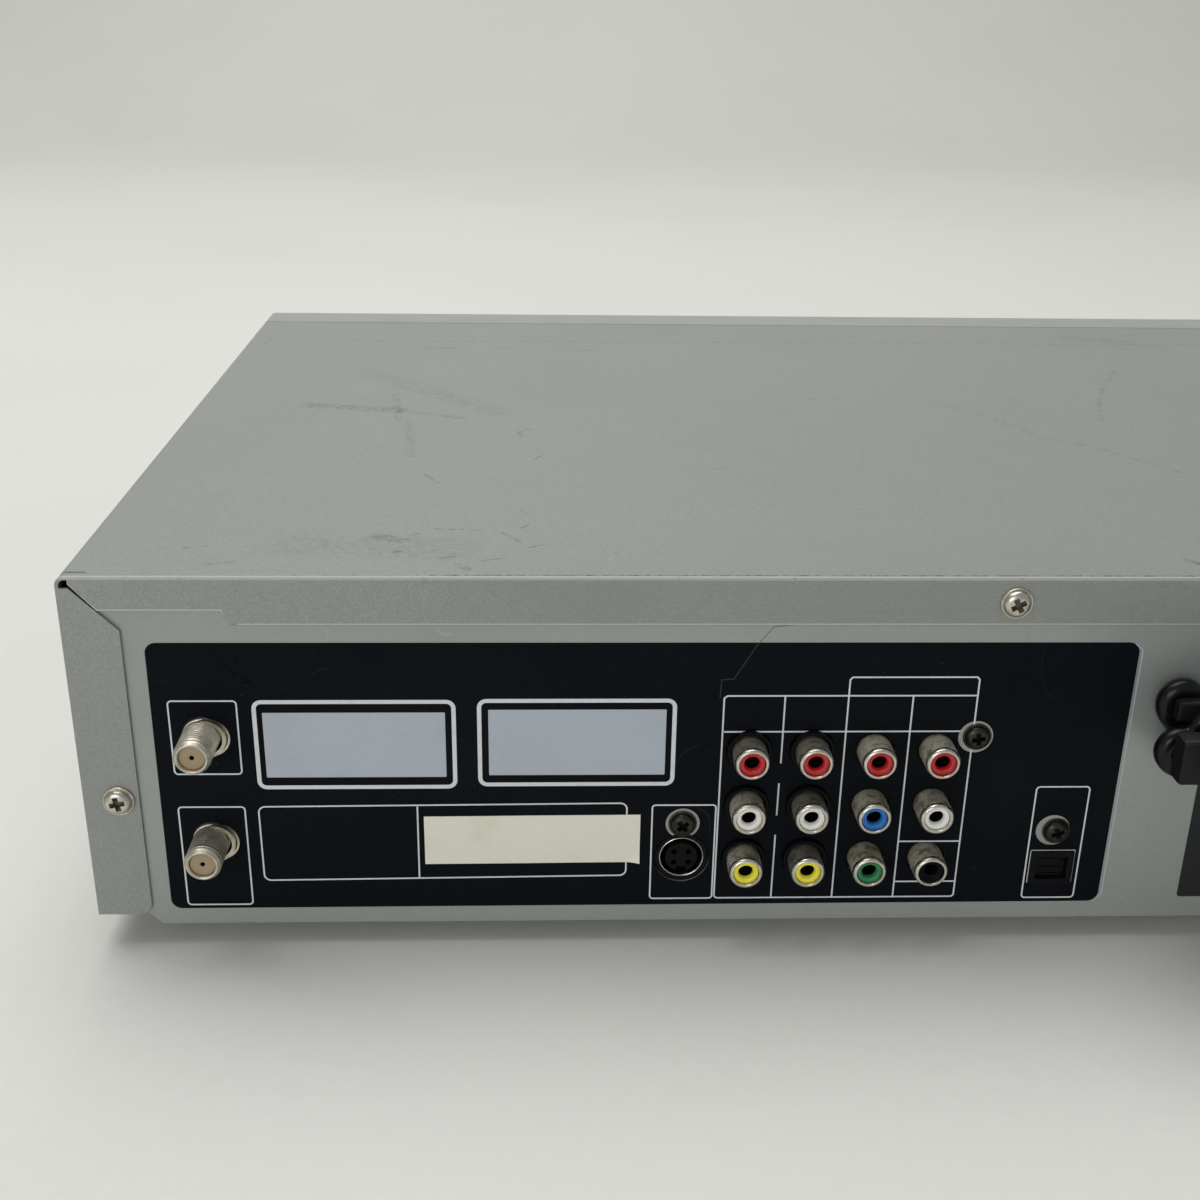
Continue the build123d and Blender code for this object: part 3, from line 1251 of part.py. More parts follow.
def side_plate_top():
    """Upper edge of the side plates, above the pins of the sliders."""
    return SLIDER_PIN_Z + SIDE_PLATE_ABOVE


def make_side_plates():
    """Upright side plates of the deck, each with a level slot for the slider pins."""
    plates = []
    y0 = HOLDER_FRONT - SIDE_PLATE_MARGIN
    y1 = LOADED_END + SIDE_PLATE_MARGIN
    start = SLIDER_PINS_Y[0]
    end = SLIDER_PINS_Y[1] + HOLDER_TRAVEL
    slot = Pos((start + end) / 2, SLIDER_PIN_Z) * \
        SlotCenterToCenter(end - start, 2 * (SLIDER_PIN_RADIUS + SLIDE_FIT))
    for side in (-1, 1):
        x0, x1 = sorted((DECK_X + side * SIDE_PLATE_IN, DECK_X + side * SIDE_PLATE_OUT))
        plate = block(x0, x1, y0, y1, DECK_TOP, side_plate_top())
        plates.append(plate - prism_x(slot, x0, x1))
    return plates


def make_holder_sliders():
    """Two bars that carry the cassette holder, with pins in the side plates and in the holder."""
    bars = []
    for side in (-1, 1):
        x0, x1 = sorted((DECK_X + side * SLIDER_IN, DECK_X + side * SLIDER_OUT))
        bar = block(x0, x1, SLIDER_PINS_Y[0] - SLIDER_OVERHANG, SLIDER_PINS_Y[1] + SLIDER_OVERHANG,
                    SLIDER_PIN_Z - SLIDER_HEIGHT / 2, SLIDER_PIN_Z + SLIDER_HEIGHT / 2)
        p0, p1 = sorted((DECK_X + side * (HOLDER_HALF - HOLDER_SHEET), DECK_X + side * SIDE_PLATE_OUT))
        for y in SLIDER_PINS_Y:
            bar += along_x(p0, p1, y, SLIDER_PIN_Z, SLIDER_PIN_RADIUS)
        bars.append(bar)
    return group(bars)


def make_cassette_holder():
    """Sheet holder for the cassette: roof, side walls with upright slots, and ledges under its edges."""
    half = HOLDER_HALF
    top = HOLDER_TOP + HOLDER_SHEET
    bottom = HOLDER_Z - HOLDER_SHEET
    outer = Pos(DECK_X, (top + bottom) / 2) * Rectangle(2 * half, top - bottom)
    room = Pos(DECK_X, (HOLDER_TOP + HOLDER_Z) / 2) * Rectangle(2 * (half - HOLDER_SHEET), HOLDER_TOP - HOLDER_Z)
    mouth = Pos(DECK_X, bottom) * Rectangle(2 * (half - HOLDER_SHEET - HOLDER_LEDGE), 2 * HOLDER_SHEET)
    holder = prism_y(outer - room - mouth, HOLDER_FRONT, HOLDER_FRONT + HOLDER_LENGTH)
    for y in SLIDER_PINS_Y:
        slot = Pos(y, SLIDER_PIN_Z + HOLDER_DROP / 2) * Rot(0, 0, 90) * \
            SlotCenterToCenter(HOLDER_DROP, 2 * (SLIDER_PIN_RADIUS + SLIDE_FIT))
        for side in (-1, 1):
            x0, x1 = sorted((DECK_X + side * half, DECK_X + side * (half - HOLDER_SHEET)))
            holder -= prism_x(slot, x0, x1)
    return holder


def make_lower_drum():
    """Fixed lower drum with the shaft that the head drum turns on."""
    drum = upright(DECK_X, DRUM_Y, DECK_TOP, DECK_TOP + LOWER_DRUM_HEIGHT, DRUM_RADIUS)
    return drum + upright(DECK_X, DRUM_Y, DECK_TOP + LOWER_DRUM_HEIGHT,
                          DECK_TOP + LOWER_DRUM_HEIGHT + DRUM_SHAFT_LENGTH, DRUM_SHAFT_RADIUS)


def make_head_drum():
    """Rotating upper drum with a recessed top."""
    z0 = DECK_TOP + LOWER_DRUM_HEIGHT + DRUM_SPLIT
    z1 = z0 + UPPER_DRUM_HEIGHT
    drum = upright(DECK_X, DRUM_Y, z0, z1, DRUM_RADIUS)
    ring = upright(DECK_X, DRUM_Y, z1 - DRUM_RECESS, z1, DRUM_RECESS_RADIUS)
    drum -= ring - upright(DECK_X, DRUM_Y, z1 - DRUM_RECESS, z1, 2 * DRUM_SHAFT_RADIUS)
    return drum - upright(DECK_X, DRUM_Y, z0, z0 + DRUM_SHAFT_LENGTH, DRUM_SHAFT_RADIUS + SHAFT_FIT)


def make_capstan():
    """Capstan shaft with its flywheel under the deck."""
    z0 = FLOOR_Z + FLYWHEEL_CLEAR
    shaft = upright(CAPSTAN_X, CAPSTAN_Y, z0, DECK_TOP + CAPSTAN_ABOVE, CAPSTAN_RADIUS)
    return shaft + upright(CAPSTAN_X, CAPSTAN_Y, z0, z0 + FLYWHEEL_THICK, FLYWHEEL_RADIUS)


def make_pinch_arm():
    """Swinging arm with its hub on the pivot post and the pin of the pinch roller."""
    z0 = PINCH_ARM_Z
    arm = slot_in_z((PIVOT_X, PIVOT_Y), (ROLLER_X, ROLLER_Y), PINCH_ARM_WIDTH, z0, z0 + PINCH_ARM_THICK)
    arm += upright(PIVOT_X, PIVOT_Y, z0, z0 + PINCH_HUB_HEIGHT, PINCH_ARM_WIDTH / 2)
    arm -= upright(PIVOT_X, PIVOT_Y, z0, z0 + PINCH_HUB_HEIGHT, PINCH_PIVOT_RADIUS + SHAFT_FIT)
    return arm + upright(ROLLER_X, ROLLER_Y, z0 + PINCH_ARM_THICK,
                         PINCH_ROLLER_Z + PINCH_ROLLER_LENGTH, PINCH_PIN_RADIUS)


def make_pinch_roller():
    """Rubber roller that presses the tape against the capstan."""
    roller = upright(ROLLER_X, ROLLER_Y, PINCH_ROLLER_Z, PINCH_ROLLER_Z + PINCH_ROLLER_LENGTH, PINCH_ROLLER_RADIUS)
    return roller - upright(ROLLER_X, ROLLER_Y, PINCH_ROLLER_Z, PINCH_ROLLER_Z + PINCH_ROLLER_LENGTH,
                            PINCH_PIN_RADIUS + SHAFT_FIT)


def make_reel(side):
    """Reel table: flange, splined hub and a blind bore for its post."""
    x = DECK_X + side * REEL_SPACING / 2
    z0 = DECK_TOP + REEL_LIFT
    reel = upright(x, REEL_Y, z0, z0 + REEL_FLANGE, REEL_RADIUS)
    hub_top = z0 + REEL_FLANGE + REEL_HUB_HEIGHT
    reel += upright(x, REEL_Y, z0 + REEL_FLANGE, hub_top, REEL_HUB_RADIUS)
    spline = block(REEL_HUB_RADIUS - REEL_SPLINE, REEL_HUB_RADIUS + REEL_SPLINE, -REEL_SPLINE / 2, REEL_SPLINE / 2,
                   z0 + REEL_FLANGE, hub_top - REEL_SPLINE)
    for number in range(3):
        reel += Pos(x, REEL_Y, 0) * Rot(0, 0, 120 * number) * spline
    return reel - upright(x, REEL_Y, z0, DECK_TOP + REEL_POST_HEIGHT + REEL_LIFT, REEL_POST_RADIUS + SHAFT_FIT)


def make_guide(side):
    """Tape guide: block on the deck, key in the slot and a flanged roller post."""
    start, end = guide_ends(side)
    angle = math.degrees(math.atan2(end[1] - start[1], end[0] - start[0]))
    z0 = DECK_TOP + REEL_LIFT
    z1 = z0 + GUIDE_BLOCK_HEIGHT
    carriage = block(-GUIDE_LENGTH / 2, GUIDE_LENGTH / 2, -GUIDE_WIDTH / 2, GUIDE_WIDTH / 2, z0, z1)
    key = SlotOverall(GUIDE_LENGTH, GUIDE_SLOT)
    carriage += prism_z(key, DECK_Z, z0)
    carriage += upright(0, 0, z1, z1 + GUIDE_POST_HEIGHT, GUIDE_POST_RADIUS)
    carriage += upright(0, 0, z1 + GUIDE_POST_HEIGHT - GUIDE_FLANGE_THICK, z1 + GUIDE_POST_HEIGHT,
                        GUIDE_FLANGE_RADIUS)
    return Pos(start[0], start[1], 0) * Rot(0, 0, angle) * carriage


def make_tape_heads():
    """Fixed erase head and sound head, one each side of the drum."""
    y = DRUM_Y + HEAD_BEYOND_DRUM
    heads = []
    for side in (-1, 1):
        x = DECK_X + side * HEAD_OFFSET_X
        heads.append(block(x - HEAD_WIDTH / 2, x + HEAD_WIDTH / 2, y - HEAD_DEPTH / 2, y + HEAD_DEPTH / 2,
                           DECK_TOP, DECK_TOP + HEAD_HEIGHT))
    return group(heads)


def make_drive_motors():
    """Stator ring of the capstan motor and the tray motor."""
    stator = upright(CAPSTAN_X, CAPSTAN_Y, DECK_Z - STATOR_THICK, DECK_Z, FLYWHEEL_RADIUS)
    stator -= upright(CAPSTAN_X, CAPSTAN_Y, DECK_Z - STATOR_THICK, DECK_Z, STATOR_INNER)
    motor = upright(MOTOR_X, GEAR_Y, LOADER_Z - MOTOR_LENGTH, LOADER_Z, MOTOR_RADIUS)
    motor -= upright(MOTOR_X, GEAR_Y, LOADER_Z - MOTOR_SHAFT_DEPTH, LOADER_Z, MOTOR_SHAFT_RADIUS + SHAFT_FIT)
    return group([stator, motor])


# Disc loader


def make_loader_frame():
    """Moulded loader: floor with the traverse opening, walls, rails, legs, pivot ears and clamp bridge."""
    x0 = LOADER_X - LOADER_HALF
    x1 = LOADER_X + LOADER_HALF
    frame = block(x0, x1, LOADER_Y0, LOADER_Y1, LOADER_Z, LOADER_TOP)
    open_half = TRAVERSE_WIDTH / 2 + TRAVERSE_GAP
    frame -= block(LOADER_X - open_half, LOADER_X + open_half, TRAVERSE_Y0 - TRAVERSE_ROOM,
                   TRAVERSE_Y1 + TRAVERSE_GAP, LOADER_Z, LOADER_TOP)
    wall_top = TRAY_TOP + LOADER_WALL_ABOVE
    rail_top = TRAY_Z - TRAY_RUN_GAP
    for side in (-1, 1):
        outer = LOADER_X + side * LOADER_HALF
        inner = outer - side * LOADER_WALL
        rail = inner - side * LOADER_RAIL
        frame += block(min(outer, inner), max(outer, inner), LOADER_Y0, LOADER_Y1, LOADER_TOP, wall_top)
        frame += block(min(inner, rail), max(inner, rail), LOADER_Y0, LOADER_Y1, LOADER_TOP, rail_top)
        frame += block(min(outer, inner), max(outer, inner), SPINDLE_Y - BRIDGE_WIDTH / 2,
                       SPINDLE_Y + BRIDGE_WIDTH / 2, wall_top, BRIDGE_Z)
        ear_in = LOADER_X + side * open_half
        ear_out = ear_in + side * PIVOT_EAR
        ear_z = TRAVERSE_AXIS_Z + PIVOT_EAR_HEIGHT / 2
        frame += block(min(ear_in, ear_out), max(ear_in, ear_out), TRAVERSE_AXIS_Y - PIVOT_EAR_LENGTH / 2,
                       TRAVERSE_AXIS_Y + PIVOT_EAR_LENGTH / 2, LOADER_TOP, ear_z)
        frame -= along_x(min(ear_in, ear_out), max(ear_in, ear_out), TRAVERSE_AXIS_Y, TRAVERSE_AXIS_Z,
                         PIVOT_RADIUS + HINGE_FIT)
    bridge = block(x0, x1, SPINDLE_Y - BRIDGE_WIDTH / 2, SPINDLE_Y + BRIDGE_WIDTH / 2,
                   BRIDGE_Z, BRIDGE_Z + BRIDGE_THICK)
    frame += bridge - upright(LOADER_X, SPINDLE_Y, BRIDGE_Z, BRIDGE_Z + BRIDGE_THICK,
                              PUCK_NECK_RADIUS + PUCK_NECK_FIT)
    for x, y in loader_leg_places():
        frame += upright(x, y, FLOOR_Z, LOADER_Z, LOADER_LEG_RADIUS)
    frame += upright(GEAR_X, GEAR_Y, LOADER_TOP, TRAY_Z - TRAY_RUN_GAP, GEAR_POST_RADIUS)
    return frame - upright(MOTOR_X, GEAR_Y, LOADER_Z, LOADER_TOP, MOTOR_SHAFT_RADIUS + SHAFT_FIT)


def rack_outline():
    """Rack under the tray: a bar with straight-sided teeth facing +X."""
    lean = math.tan(math.radians(GEAR_PRESSURE))
    back = RACK_PITCH_X - GEAR_DEDENDUM - RACK_BACKING
    root = RACK_PITCH_X - GEAR_DEDENDUM
    tip = RACK_PITCH_X + GEAR_ADDENDUM
    half = (GEAR_PITCH - GEAR_BACKLASH) / 4
    before = math.ceil(RACK_OVERRUN / GEAR_PITCH)
    after = math.ceil((TRAY_TRAVEL + RACK_OVERRUN) / GEAR_PITCH)
    first_y = GEAR_Y - (before + 0.5) * GEAR_PITCH
    last_y = GEAR_Y + (after + 0.5) * GEAR_PITCH
    points = [(back, first_y), (root, first_y)]
    for number in range(-before, after + 1):
        y = GEAR_Y + number * GEAR_PITCH
        points += [
            (root, y - half - GEAR_DEDENDUM * lean),
            (tip, y - half + GEAR_ADDENDUM * lean),
            (tip, y + half - GEAR_ADDENDUM * lean),
            (root, y + half + GEAR_DEDENDUM * lean),
        ]
    points += [(root, last_y), (back, last_y)]
    return outline(*points)


def make_disc_tray():
    """Disc tray: plate with two stepped recesses, a slot open to the rear, and the rack below."""
    half = TRAY_WIDTH / 2
    y1 = TRAY_Y0 + TRAY_LENGTH
    tray = block(LOADER_X - half, LOADER_X + half, TRAY_Y0, y1, TRAY_Z, TRAY_TOP)
    floor = TRAY_TOP - DISC_RECESS
    tray -= upright(LOADER_X, SPINDLE_Y, floor, TRAY_TOP, DISC_RADIUS + DISC_ROOM)
    tray -= upright(LOADER_X, SPINDLE_Y, floor - SMALL_DISC_RECESS, floor, SMALL_DISC_RADIUS + DISC_ROOM)
    slot_half = TRAY_SLOT_WIDTH / 2
    tray -= upright(LOADER_X, SPINDLE_Y, TRAY_Z, TRAY_TOP, slot_half)
    tray -= block(LOADER_X - slot_half, LOADER_X + slot_half, SPINDLE_Y, y1, TRAY_Z, TRAY_TOP)
    return tray + prism_z(rack_outline(), TRAY_Z - RACK_DEPTH, TRAY_Z)


def make_tray_front():
    """Front cover of the tray, flush with the front panel when the tray is in."""
    z0 = TRAY_Z - TRAY_FRONT_BELOW
    bar = rounded_bar(LOADER_X, z0 + TRAY_FRONT_HEIGHT / 2, TRAY_FRONT_WIDTH, TRAY_FRONT_HEIGHT, TRAY_FRONT_ROUND,
                      FRONT, TRAY_Y0)
    return chamfer(bar.faces().sort_by(Axis.Y)[0].edges(), TRAY_FRONT_ROUND / 2)


def gear_outline():
    """Pinion with straight-sided teeth; one gap faces the rack tooth at -X."""
    lean = math.tan(math.radians(GEAR_PRESSURE))
    root = GEAR_RADIUS - GEAR_DEDENDUM
    tip = GEAR_RADIUS + GEAR_ADDENDUM
    half = (GEAR_PITCH - GEAR_BACKLASH) / 4
    root_half = (half + GEAR_DEDENDUM * lean) / root
    tip_half = (half - GEAR_ADDENDUM * lean) / tip
    points = []
    for number in range(GEAR_TEETH):
        middle = math.pi + (number + 0.5) * 2 * math.pi / GEAR_TEETH
        for radius, angle in ((root, -root_half), (tip, -tip_half), (tip, tip_half), (root, root_half)):
            points.append((radius * math.cos(middle + angle), radius * math.sin(middle + angle)))
    return outline(*points)


def pulley(radius):
    """Flanged pulley along Z from z = 0, with a groove for the belt."""
    groove = radius - BELT_THICK
    wheel = upright(0, 0, 0, PULLEY_LIP, radius)
    wheel += upright(0, 0, PULLEY_LIP, PULLEY_THICK - PULLEY_LIP, groove)
    return wheel + upright(0, 0, PULLEY_THICK - PULLEY_LIP, PULLEY_THICK, radius)


def make_tray_gear():
    """Pinion under the tray, in one piece with its belt pulley."""
    wheel = pulley(PULLEY_RADIUS) + prism_z(gear_outline(), PULLEY_THICK, GEAR_Z - PULLEY_Z + GEAR_THICK)
    wheel -= upright(0, 0, 0, GEAR_Z - PULLEY_Z + GEAR_THICK, GEAR_POST_RADIUS + SHAFT_FIT)
    return Pos(GEAR_X, GEAR_Y, PULLEY_Z) * wheel


def make_motor_pulley():
    """Motor shaft with its small pulley above the loader floor."""
    shaft = upright(0, 0, LOADER_Z - MOTOR_SHAFT_DEPTH - PULLEY_Z, 0, MOTOR_SHAFT_RADIUS)
    return Pos(MOTOR_X, GEAR_Y, PULLEY_Z) * (pulley(MOTOR_PULLEY_RADIUS) + shaft)


def belt_outline(large, small, span):
    """Closed outline round two pulleys: two arcs and the straight runs between them."""
    angle = math.asin((large - small) / span)
    lx = large * math.sin(angle)
    ly = large * math.cos(angle)
    sx = span + small * math.sin(angle)
    sy = small * math.cos(angle)
    edges = [
        Line((lx, ly), (sx, sy)),
        ThreePointArc((sx, sy), (span + small, 0), (sx, -sy)),
        Line((sx, -sy), (lx, -ly)),
        ThreePointArc((lx, -ly), (-large, 0), (lx, ly)),
    ]
    return make_face(edges)


def make_tray_belt():
    """Rubber belt from the motor pulley to the tray gear."""
    large = PULLEY_RADIUS - BELT_THICK + BELT_FIT
    small = MOTOR_PULLEY_RADIUS - BELT_THICK + BELT_FIT
    span = MOTOR_X - GEAR_X
    ring = belt_outline(large + BELT_THICK, small + BELT_THICK, span) - belt_outline(large, small, span)
    return Pos(GEAR_X, GEAR_Y, 0) * prism_z(ring, BELT_Z0, BELT_Z1)


def make_clamp_puck():
    """Disc clamp that hangs in the bridge by its upper flange."""
    z0 = TRAY_TOP + PUCK_BELOW
    neck_top = BRIDGE_Z + BRIDGE_THICK + PUCK_REST_GAP
    puck = upright(LOADER_X, SPINDLE_Y, z0, BRIDGE_Z - PUCK_REST_GAP, PUCK_RADIUS)
    puck += upright(LOADER_X, SPINDLE_Y, BRIDGE_Z - PUCK_REST_GAP, neck_top, PUCK_NECK_RADIUS)
    return puck + upright(LOADER_X, SPINDLE_Y, neck_top, neck_top + PUCK_FLANGE_THICK, PUCK_FLANGE_RADIUS)


def make_traverse_frame():
    """Tilting frame that carries the spindle motor, the guide rod and the ends of the lead screw."""
    half = TRAVERSE_WIDTH / 2
    frame = block(LOADER_X - half, LOADER_X + half, TRAVERSE_Y0, TRAVERSE_Y1, TRAVERSE_Z, TRAVERSE_TOP)
    window = PICKUP_WINDOW / 2
    frame -= block(LOADER_X - window, LOADER_X + window, SLED_Y, ROD_Y1, TRAVERSE_Z, TRAVERSE_TOP)
    frame += upright(LOADER_X, SPINDLE_Y, TRAVERSE_Z - SPINDLE_MOTOR_HEIGHT, TRAVERSE_Z, SPINDLE_MOTOR_RADIUS)
    frame -= upright(LOADER_X, SPINDLE_Y, TRAVERSE_Z - SPINDLE_MOTOR_HEIGHT / 2, TRAVERSE_TOP,
                     SPINDLE_RADIUS + SHAFT_FIT)
    ear_half = ROD_EAR_WIDTH / 2
    for side in (-1, 1):
        x = LOADER_X + side * ROD_OFFSET_X
        for y0 in (ROD_Y0 - ROD_EAR, ROD_Y1):
            frame += block(x - ear_half, x + ear_half, y0, y0 + ROD_EAR, TRAVERSE_TOP, ROD_Z + ROD_RADIUS + SLED_FIT)
        pin_in = LOADER_X + side * half
        pin_out = pin_in + side * (TRAVERSE_GAP + PIVOT_LENGTH)
        frame += along_x(min(pin_in, pin_out), max(pin_in, pin_out), TRAVERSE_AXIS_Y, TRAVERSE_AXIS_Z, PIVOT_RADIUS)
    frame += along_y(LOADER_X - ROD_OFFSET_X, ROD_Y0, ROD_Y1, ROD_Z, ROD_RADIUS)
    return frame - along_y(LOADER_X + ROD_OFFSET_X, ROD_Y0 - ROD_EAR, ROD_Y1 + ROD_EAR, ROD_Z,
                           ROD_RADIUS + SHAFT_FIT)


def make_turntable():
    """Turntable with its centring boss and spindle."""
    hub_bottom = TRAVERSE_TOP + TURNTABLE_HUB_CLEAR
    table = upright(LOADER_X, SPINDLE_Y, DISC_Z - TURNTABLE_THICK, DISC_Z, TURNTABLE_RADIUS)
    table += Pos(LOADER_X, SPINDLE_Y, DISC_Z + CENTRE_BOSS_HEIGHT / 2) * \
        Cone(CENTRE_BOSS_RADIUS, CENTRE_BOSS_RADIUS * 0.8, CENTRE_BOSS_HEIGHT)
    table += upright(LOADER_X, SPINDLE_Y, hub_bottom, DISC_Z - TURNTABLE_THICK, TURNTABLE_HUB_RADIUS)
    return table + upright(LOADER_X, SPINDLE_Y, TRAVERSE_Z - SPINDLE_MOTOR_HEIGHT / 2 + SHAFT_FIT, hub_bottom,
                           SPINDLE_RADIUS)


def make_pickup_sled():
    """Pickup sled on the guide rod and the lead screw, with the lens turret."""
    half = SLED_WIDTH / 2
    z0 = ROD_Z - SLED_HEIGHT / 2
    z1 = ROD_Z + SLED_HEIGHT / 2
    sled = block(LOADER_X - half, LOADER_X + half, SLED_Y, SLED_Y + SLED_LENGTH, z0, z1)
    sled += upright(LOADER_X, SLED_Y + SLED_LENGTH / 2, z1, DISC_Z - LENS_BELOW_DISC, LENS_RADIUS)
    for side in (-1, 1):
        sled -= along_y(LOADER_X + side * ROD_OFFSET_X, SLED_Y, SLED_Y + SLED_LENGTH, ROD_Z, ROD_RADIUS + SLED_FIT)
    return sled


def make_lead_screw():
    """Screw that drives the pickup sled."""
    return along_y(LOADER_X + ROD_OFFSET_X, ROD_Y0 - ROD_EAR, ROD_Y1 + ROD_EAR, ROD_Z, ROD_RADIUS)


# Mains cord


def make_strain_relief():
    """Tapered strain relief snapped into the rear panel."""
    profile = [
        (0, -RELIEF_IN - PANEL_SHEET),
        (RELIEF_NECK_RADIUS, -RELIEF_IN - PANEL_SHEET),
        (RELIEF_BARB_RADIUS, -PANEL_SHEET),
        (RELIEF_NECK_RADIUS, -PANEL_SHEET),
        (RELIEF_NECK_RADIUS, 0),
        (RELIEF_FLANGE_RADIUS, 0),
        (RELIEF_FLANGE_RADIUS, RELIEF_FLANGE),
        (RELIEF_ROOT_RADIUS, RELIEF_FLANGE),
        (RELIEF_TIP_RADIUS, RELIEF_OUT),
        (0, RELIEF_OUT),
    ]
    return turned(profile, RELIEF_X, RELIEF_Z, PANEL_OUT)


def layer_y(layer):
    """Y of a layer of the hank; layer 0 lies next to the rear panel."""
    return PANEL_OUT + HANK_OFF_PANEL + layer * CORD_STEP


def hank_radius(turn):
    """Half height of a turn; turn 0 is the outermost."""
    return HANK_OUTER - turn * CORD_STEP


def lead_points():
    """Route of the cord from the strain relief to the hank, as (x, y, z), all at one height."""
    start_x = HANK_X - HANK_RUN / 2
    tip = PANEL_OUT + RELIEF_OUT
    out = LEAD_RUN * math.sin(math.radians(LEAD_TURN))
    along = LEAD_RUN * math.cos(math.radians(LEAD_TURN))
    crest = tip + LEAD_RUN + out + along
    slope = (crest - layer_y(0)) / math.tan(math.radians(LEAD_SLOPE))
    return [
        (RELIEF_X, tip, RELIEF_Z),
        (RELIEF_X, tip + LEAD_RUN, RELIEF_Z),
        (RELIEF_X + out, tip + LEAD_RUN + along, RELIEF_Z),
        (RELIEF_X + out + along, crest, RELIEF_Z),
        (start_x - LEAD_LAST - slope, crest, RELIEF_Z),
        (start_x - LEAD_LAST, layer_y(0), RELIEF_Z),
        (start_x, layer_y(0), RELIEF_Z),
    ]


def cord_tube(path, start, direction):
    """A faceted tube of the cord's thickness along a path."""
    section = Plane(origin=start, z_dir=direction) * RegularPolygon(CORD_RADIUS, CORD_SIDES)
    tube = sweep(section, path=path)
    area = section.area
    print("cord stretch", round(path.length, 1), "mm, volume over section times length",
          round(tube.volume / (area * path.length), 4))
    return tube


def make_mains_lead():
    """Free stretch of the cord between the strain relief and the hank."""
    points = [Vector(*p) for p in lead_points()]
    radii = []
    for before, here, after in zip(points, points[1:], points[2:]):
        turn = math.radians((here - before).get_angle(after - here))
        run = min((here - before).length, (after - here).length)
        radii.append(0.45 * run / math.tan(turn / 2))
    print("lead radii", [round(r, 1) for r in radii])
    path = FilletPolyline(*points, radius=radii)
    return cord_tube(path, points[0], points[1] - points[0])


class HankRoute:
    """Runs, half turns and climbs of the hank, laid one after the other."""

    def __init__(self, x, y, z):
        self.here = (x, y, z)
        self.edges = []
        self.samples = [self.here]

    def arc(self, middle, end):
        edge = Edge.make_three_point_arc(self.here, middle, end)
        self.samples += [tuple(edge @ (step / 12)) for step in range(1, 13)]
        self.edges.append(edge)
        self.here = end

    def run(self, x):
        """Straight along the hank to x."""
        end = (x, self.here[1], self.here[2])
        edge = Edge.make_line(self.here, end)
        self.samples += [tuple(edge @ (step / 12)) for step in range(1, 13)]
        self.edges.append(edge)
        self.here = end

    def half_turn(self, z, side):
        """Round the end of the hank to height z, bulging towards side."""
        x, y, z0 = self.here
        self.arc((x + side * abs(z - z0) / 2, y, (z + z0) / 2), (x, y, z))

    def climb(self, x, y):
        """Along the hank to x, moving over to another layer on two equal arcs."""
        x0, y0, z0 = self.here
        ahead = (x - x0) / 2
        aside = (y - y0) / 2
        radius = (ahead ** 2 + aside ** 2) / (2 * abs(aside))
        half = math.asin(abs(ahead) / radius) / 2
        step_x = math.copysign(radius * math.sin(half), ahead)
        step_y = math.copysign(radius * (1 - math.cos(half)), aside)
        self.arc((x0 + step_x, y0 + step_y, z0), (x0 + ahead, y0 + aside, z0))
        self.arc((x - step_x, y - step_y, z0), (x, y, z0))

    def least_gap(self):
        """Least clear distance between parts of the cord that are not neighbours along it."""
        lengths = [0.0]
        for a, b in zip(self.samples, self.samples[1:]):
            lengths.append(lengths[-1] + math.dist(a, b))
        least = math.inf
        for i, a in enumerate(self.samples):
            for j in range(i + 1, len(self.samples)):
                if lengths[j] - lengths[i] > 3 * CORD_DIAMETER:
                    least = min(least, math.dist(a, self.samples[j]))
        return least - CORD_DIAMETER


def plug_y():
    """Y of the plug's middle, in front of the outermost layer."""
    return layer_y(3) + CORD_RADIUS + PLUG_GAP + PLUG_WIDTH / 2


def hank_route():
    """Route of the hank: in and out again on four layers, then round into the plug."""
    left = HANK_X + HANK_RUN / 2
    right = HANK_X - HANK_RUN / 2
    outer = hank_radius(0)
    inner = hank_radius(HANK_TURNS - 1)
    route = HankRoute(right, layer_y(0), HANK_Z + outer)
    for layer in (0, 2):
        for turn in range(HANK_TURNS):
            route.run(left)
            route.half_turn(HANK_Z - hank_radius(turn), 1)
            if turn < HANK_TURNS - 1:
                route.run(right)
                route.half_turn(HANK_Z + hank_radius(turn + 1), -1)
        route.climb(right, layer_y(layer + 1))
        route.half_turn(HANK_Z + inner, -1)
        for turn in reversed(range(1, HANK_TURNS)):
            route.run(left)
            route.half_turn(HANK_Z - hank_radius(turn - 1), 1)
            route.run(right)
            route.half_turn(HANK_Z + hank_radius(turn - 1), -1)
        if layer == 0:
            route.run(left)
            route.half_turn(HANK_Z - outer - CORD_STEP, 1)
            route.climb(right, layer_y(layer + 2))
            route.half_turn(HANK_Z + outer, -1)
    route.climb(left, plug_y())
    route.half_turn(HANK_Z + PLUG_LEVEL, 1)
    route.run(left - TAIL_RUN)
    return route


def make_mains_hank():
    """The rest of the cord, folded into a hank and held against the rear panel."""
    route = hank_route()
    print("hank least gap", round(route.least_gap(), 2), "mm")
    path = Wire(route.edges)
    return cord_tube(path, route.samples[0], (1, 0, 0))


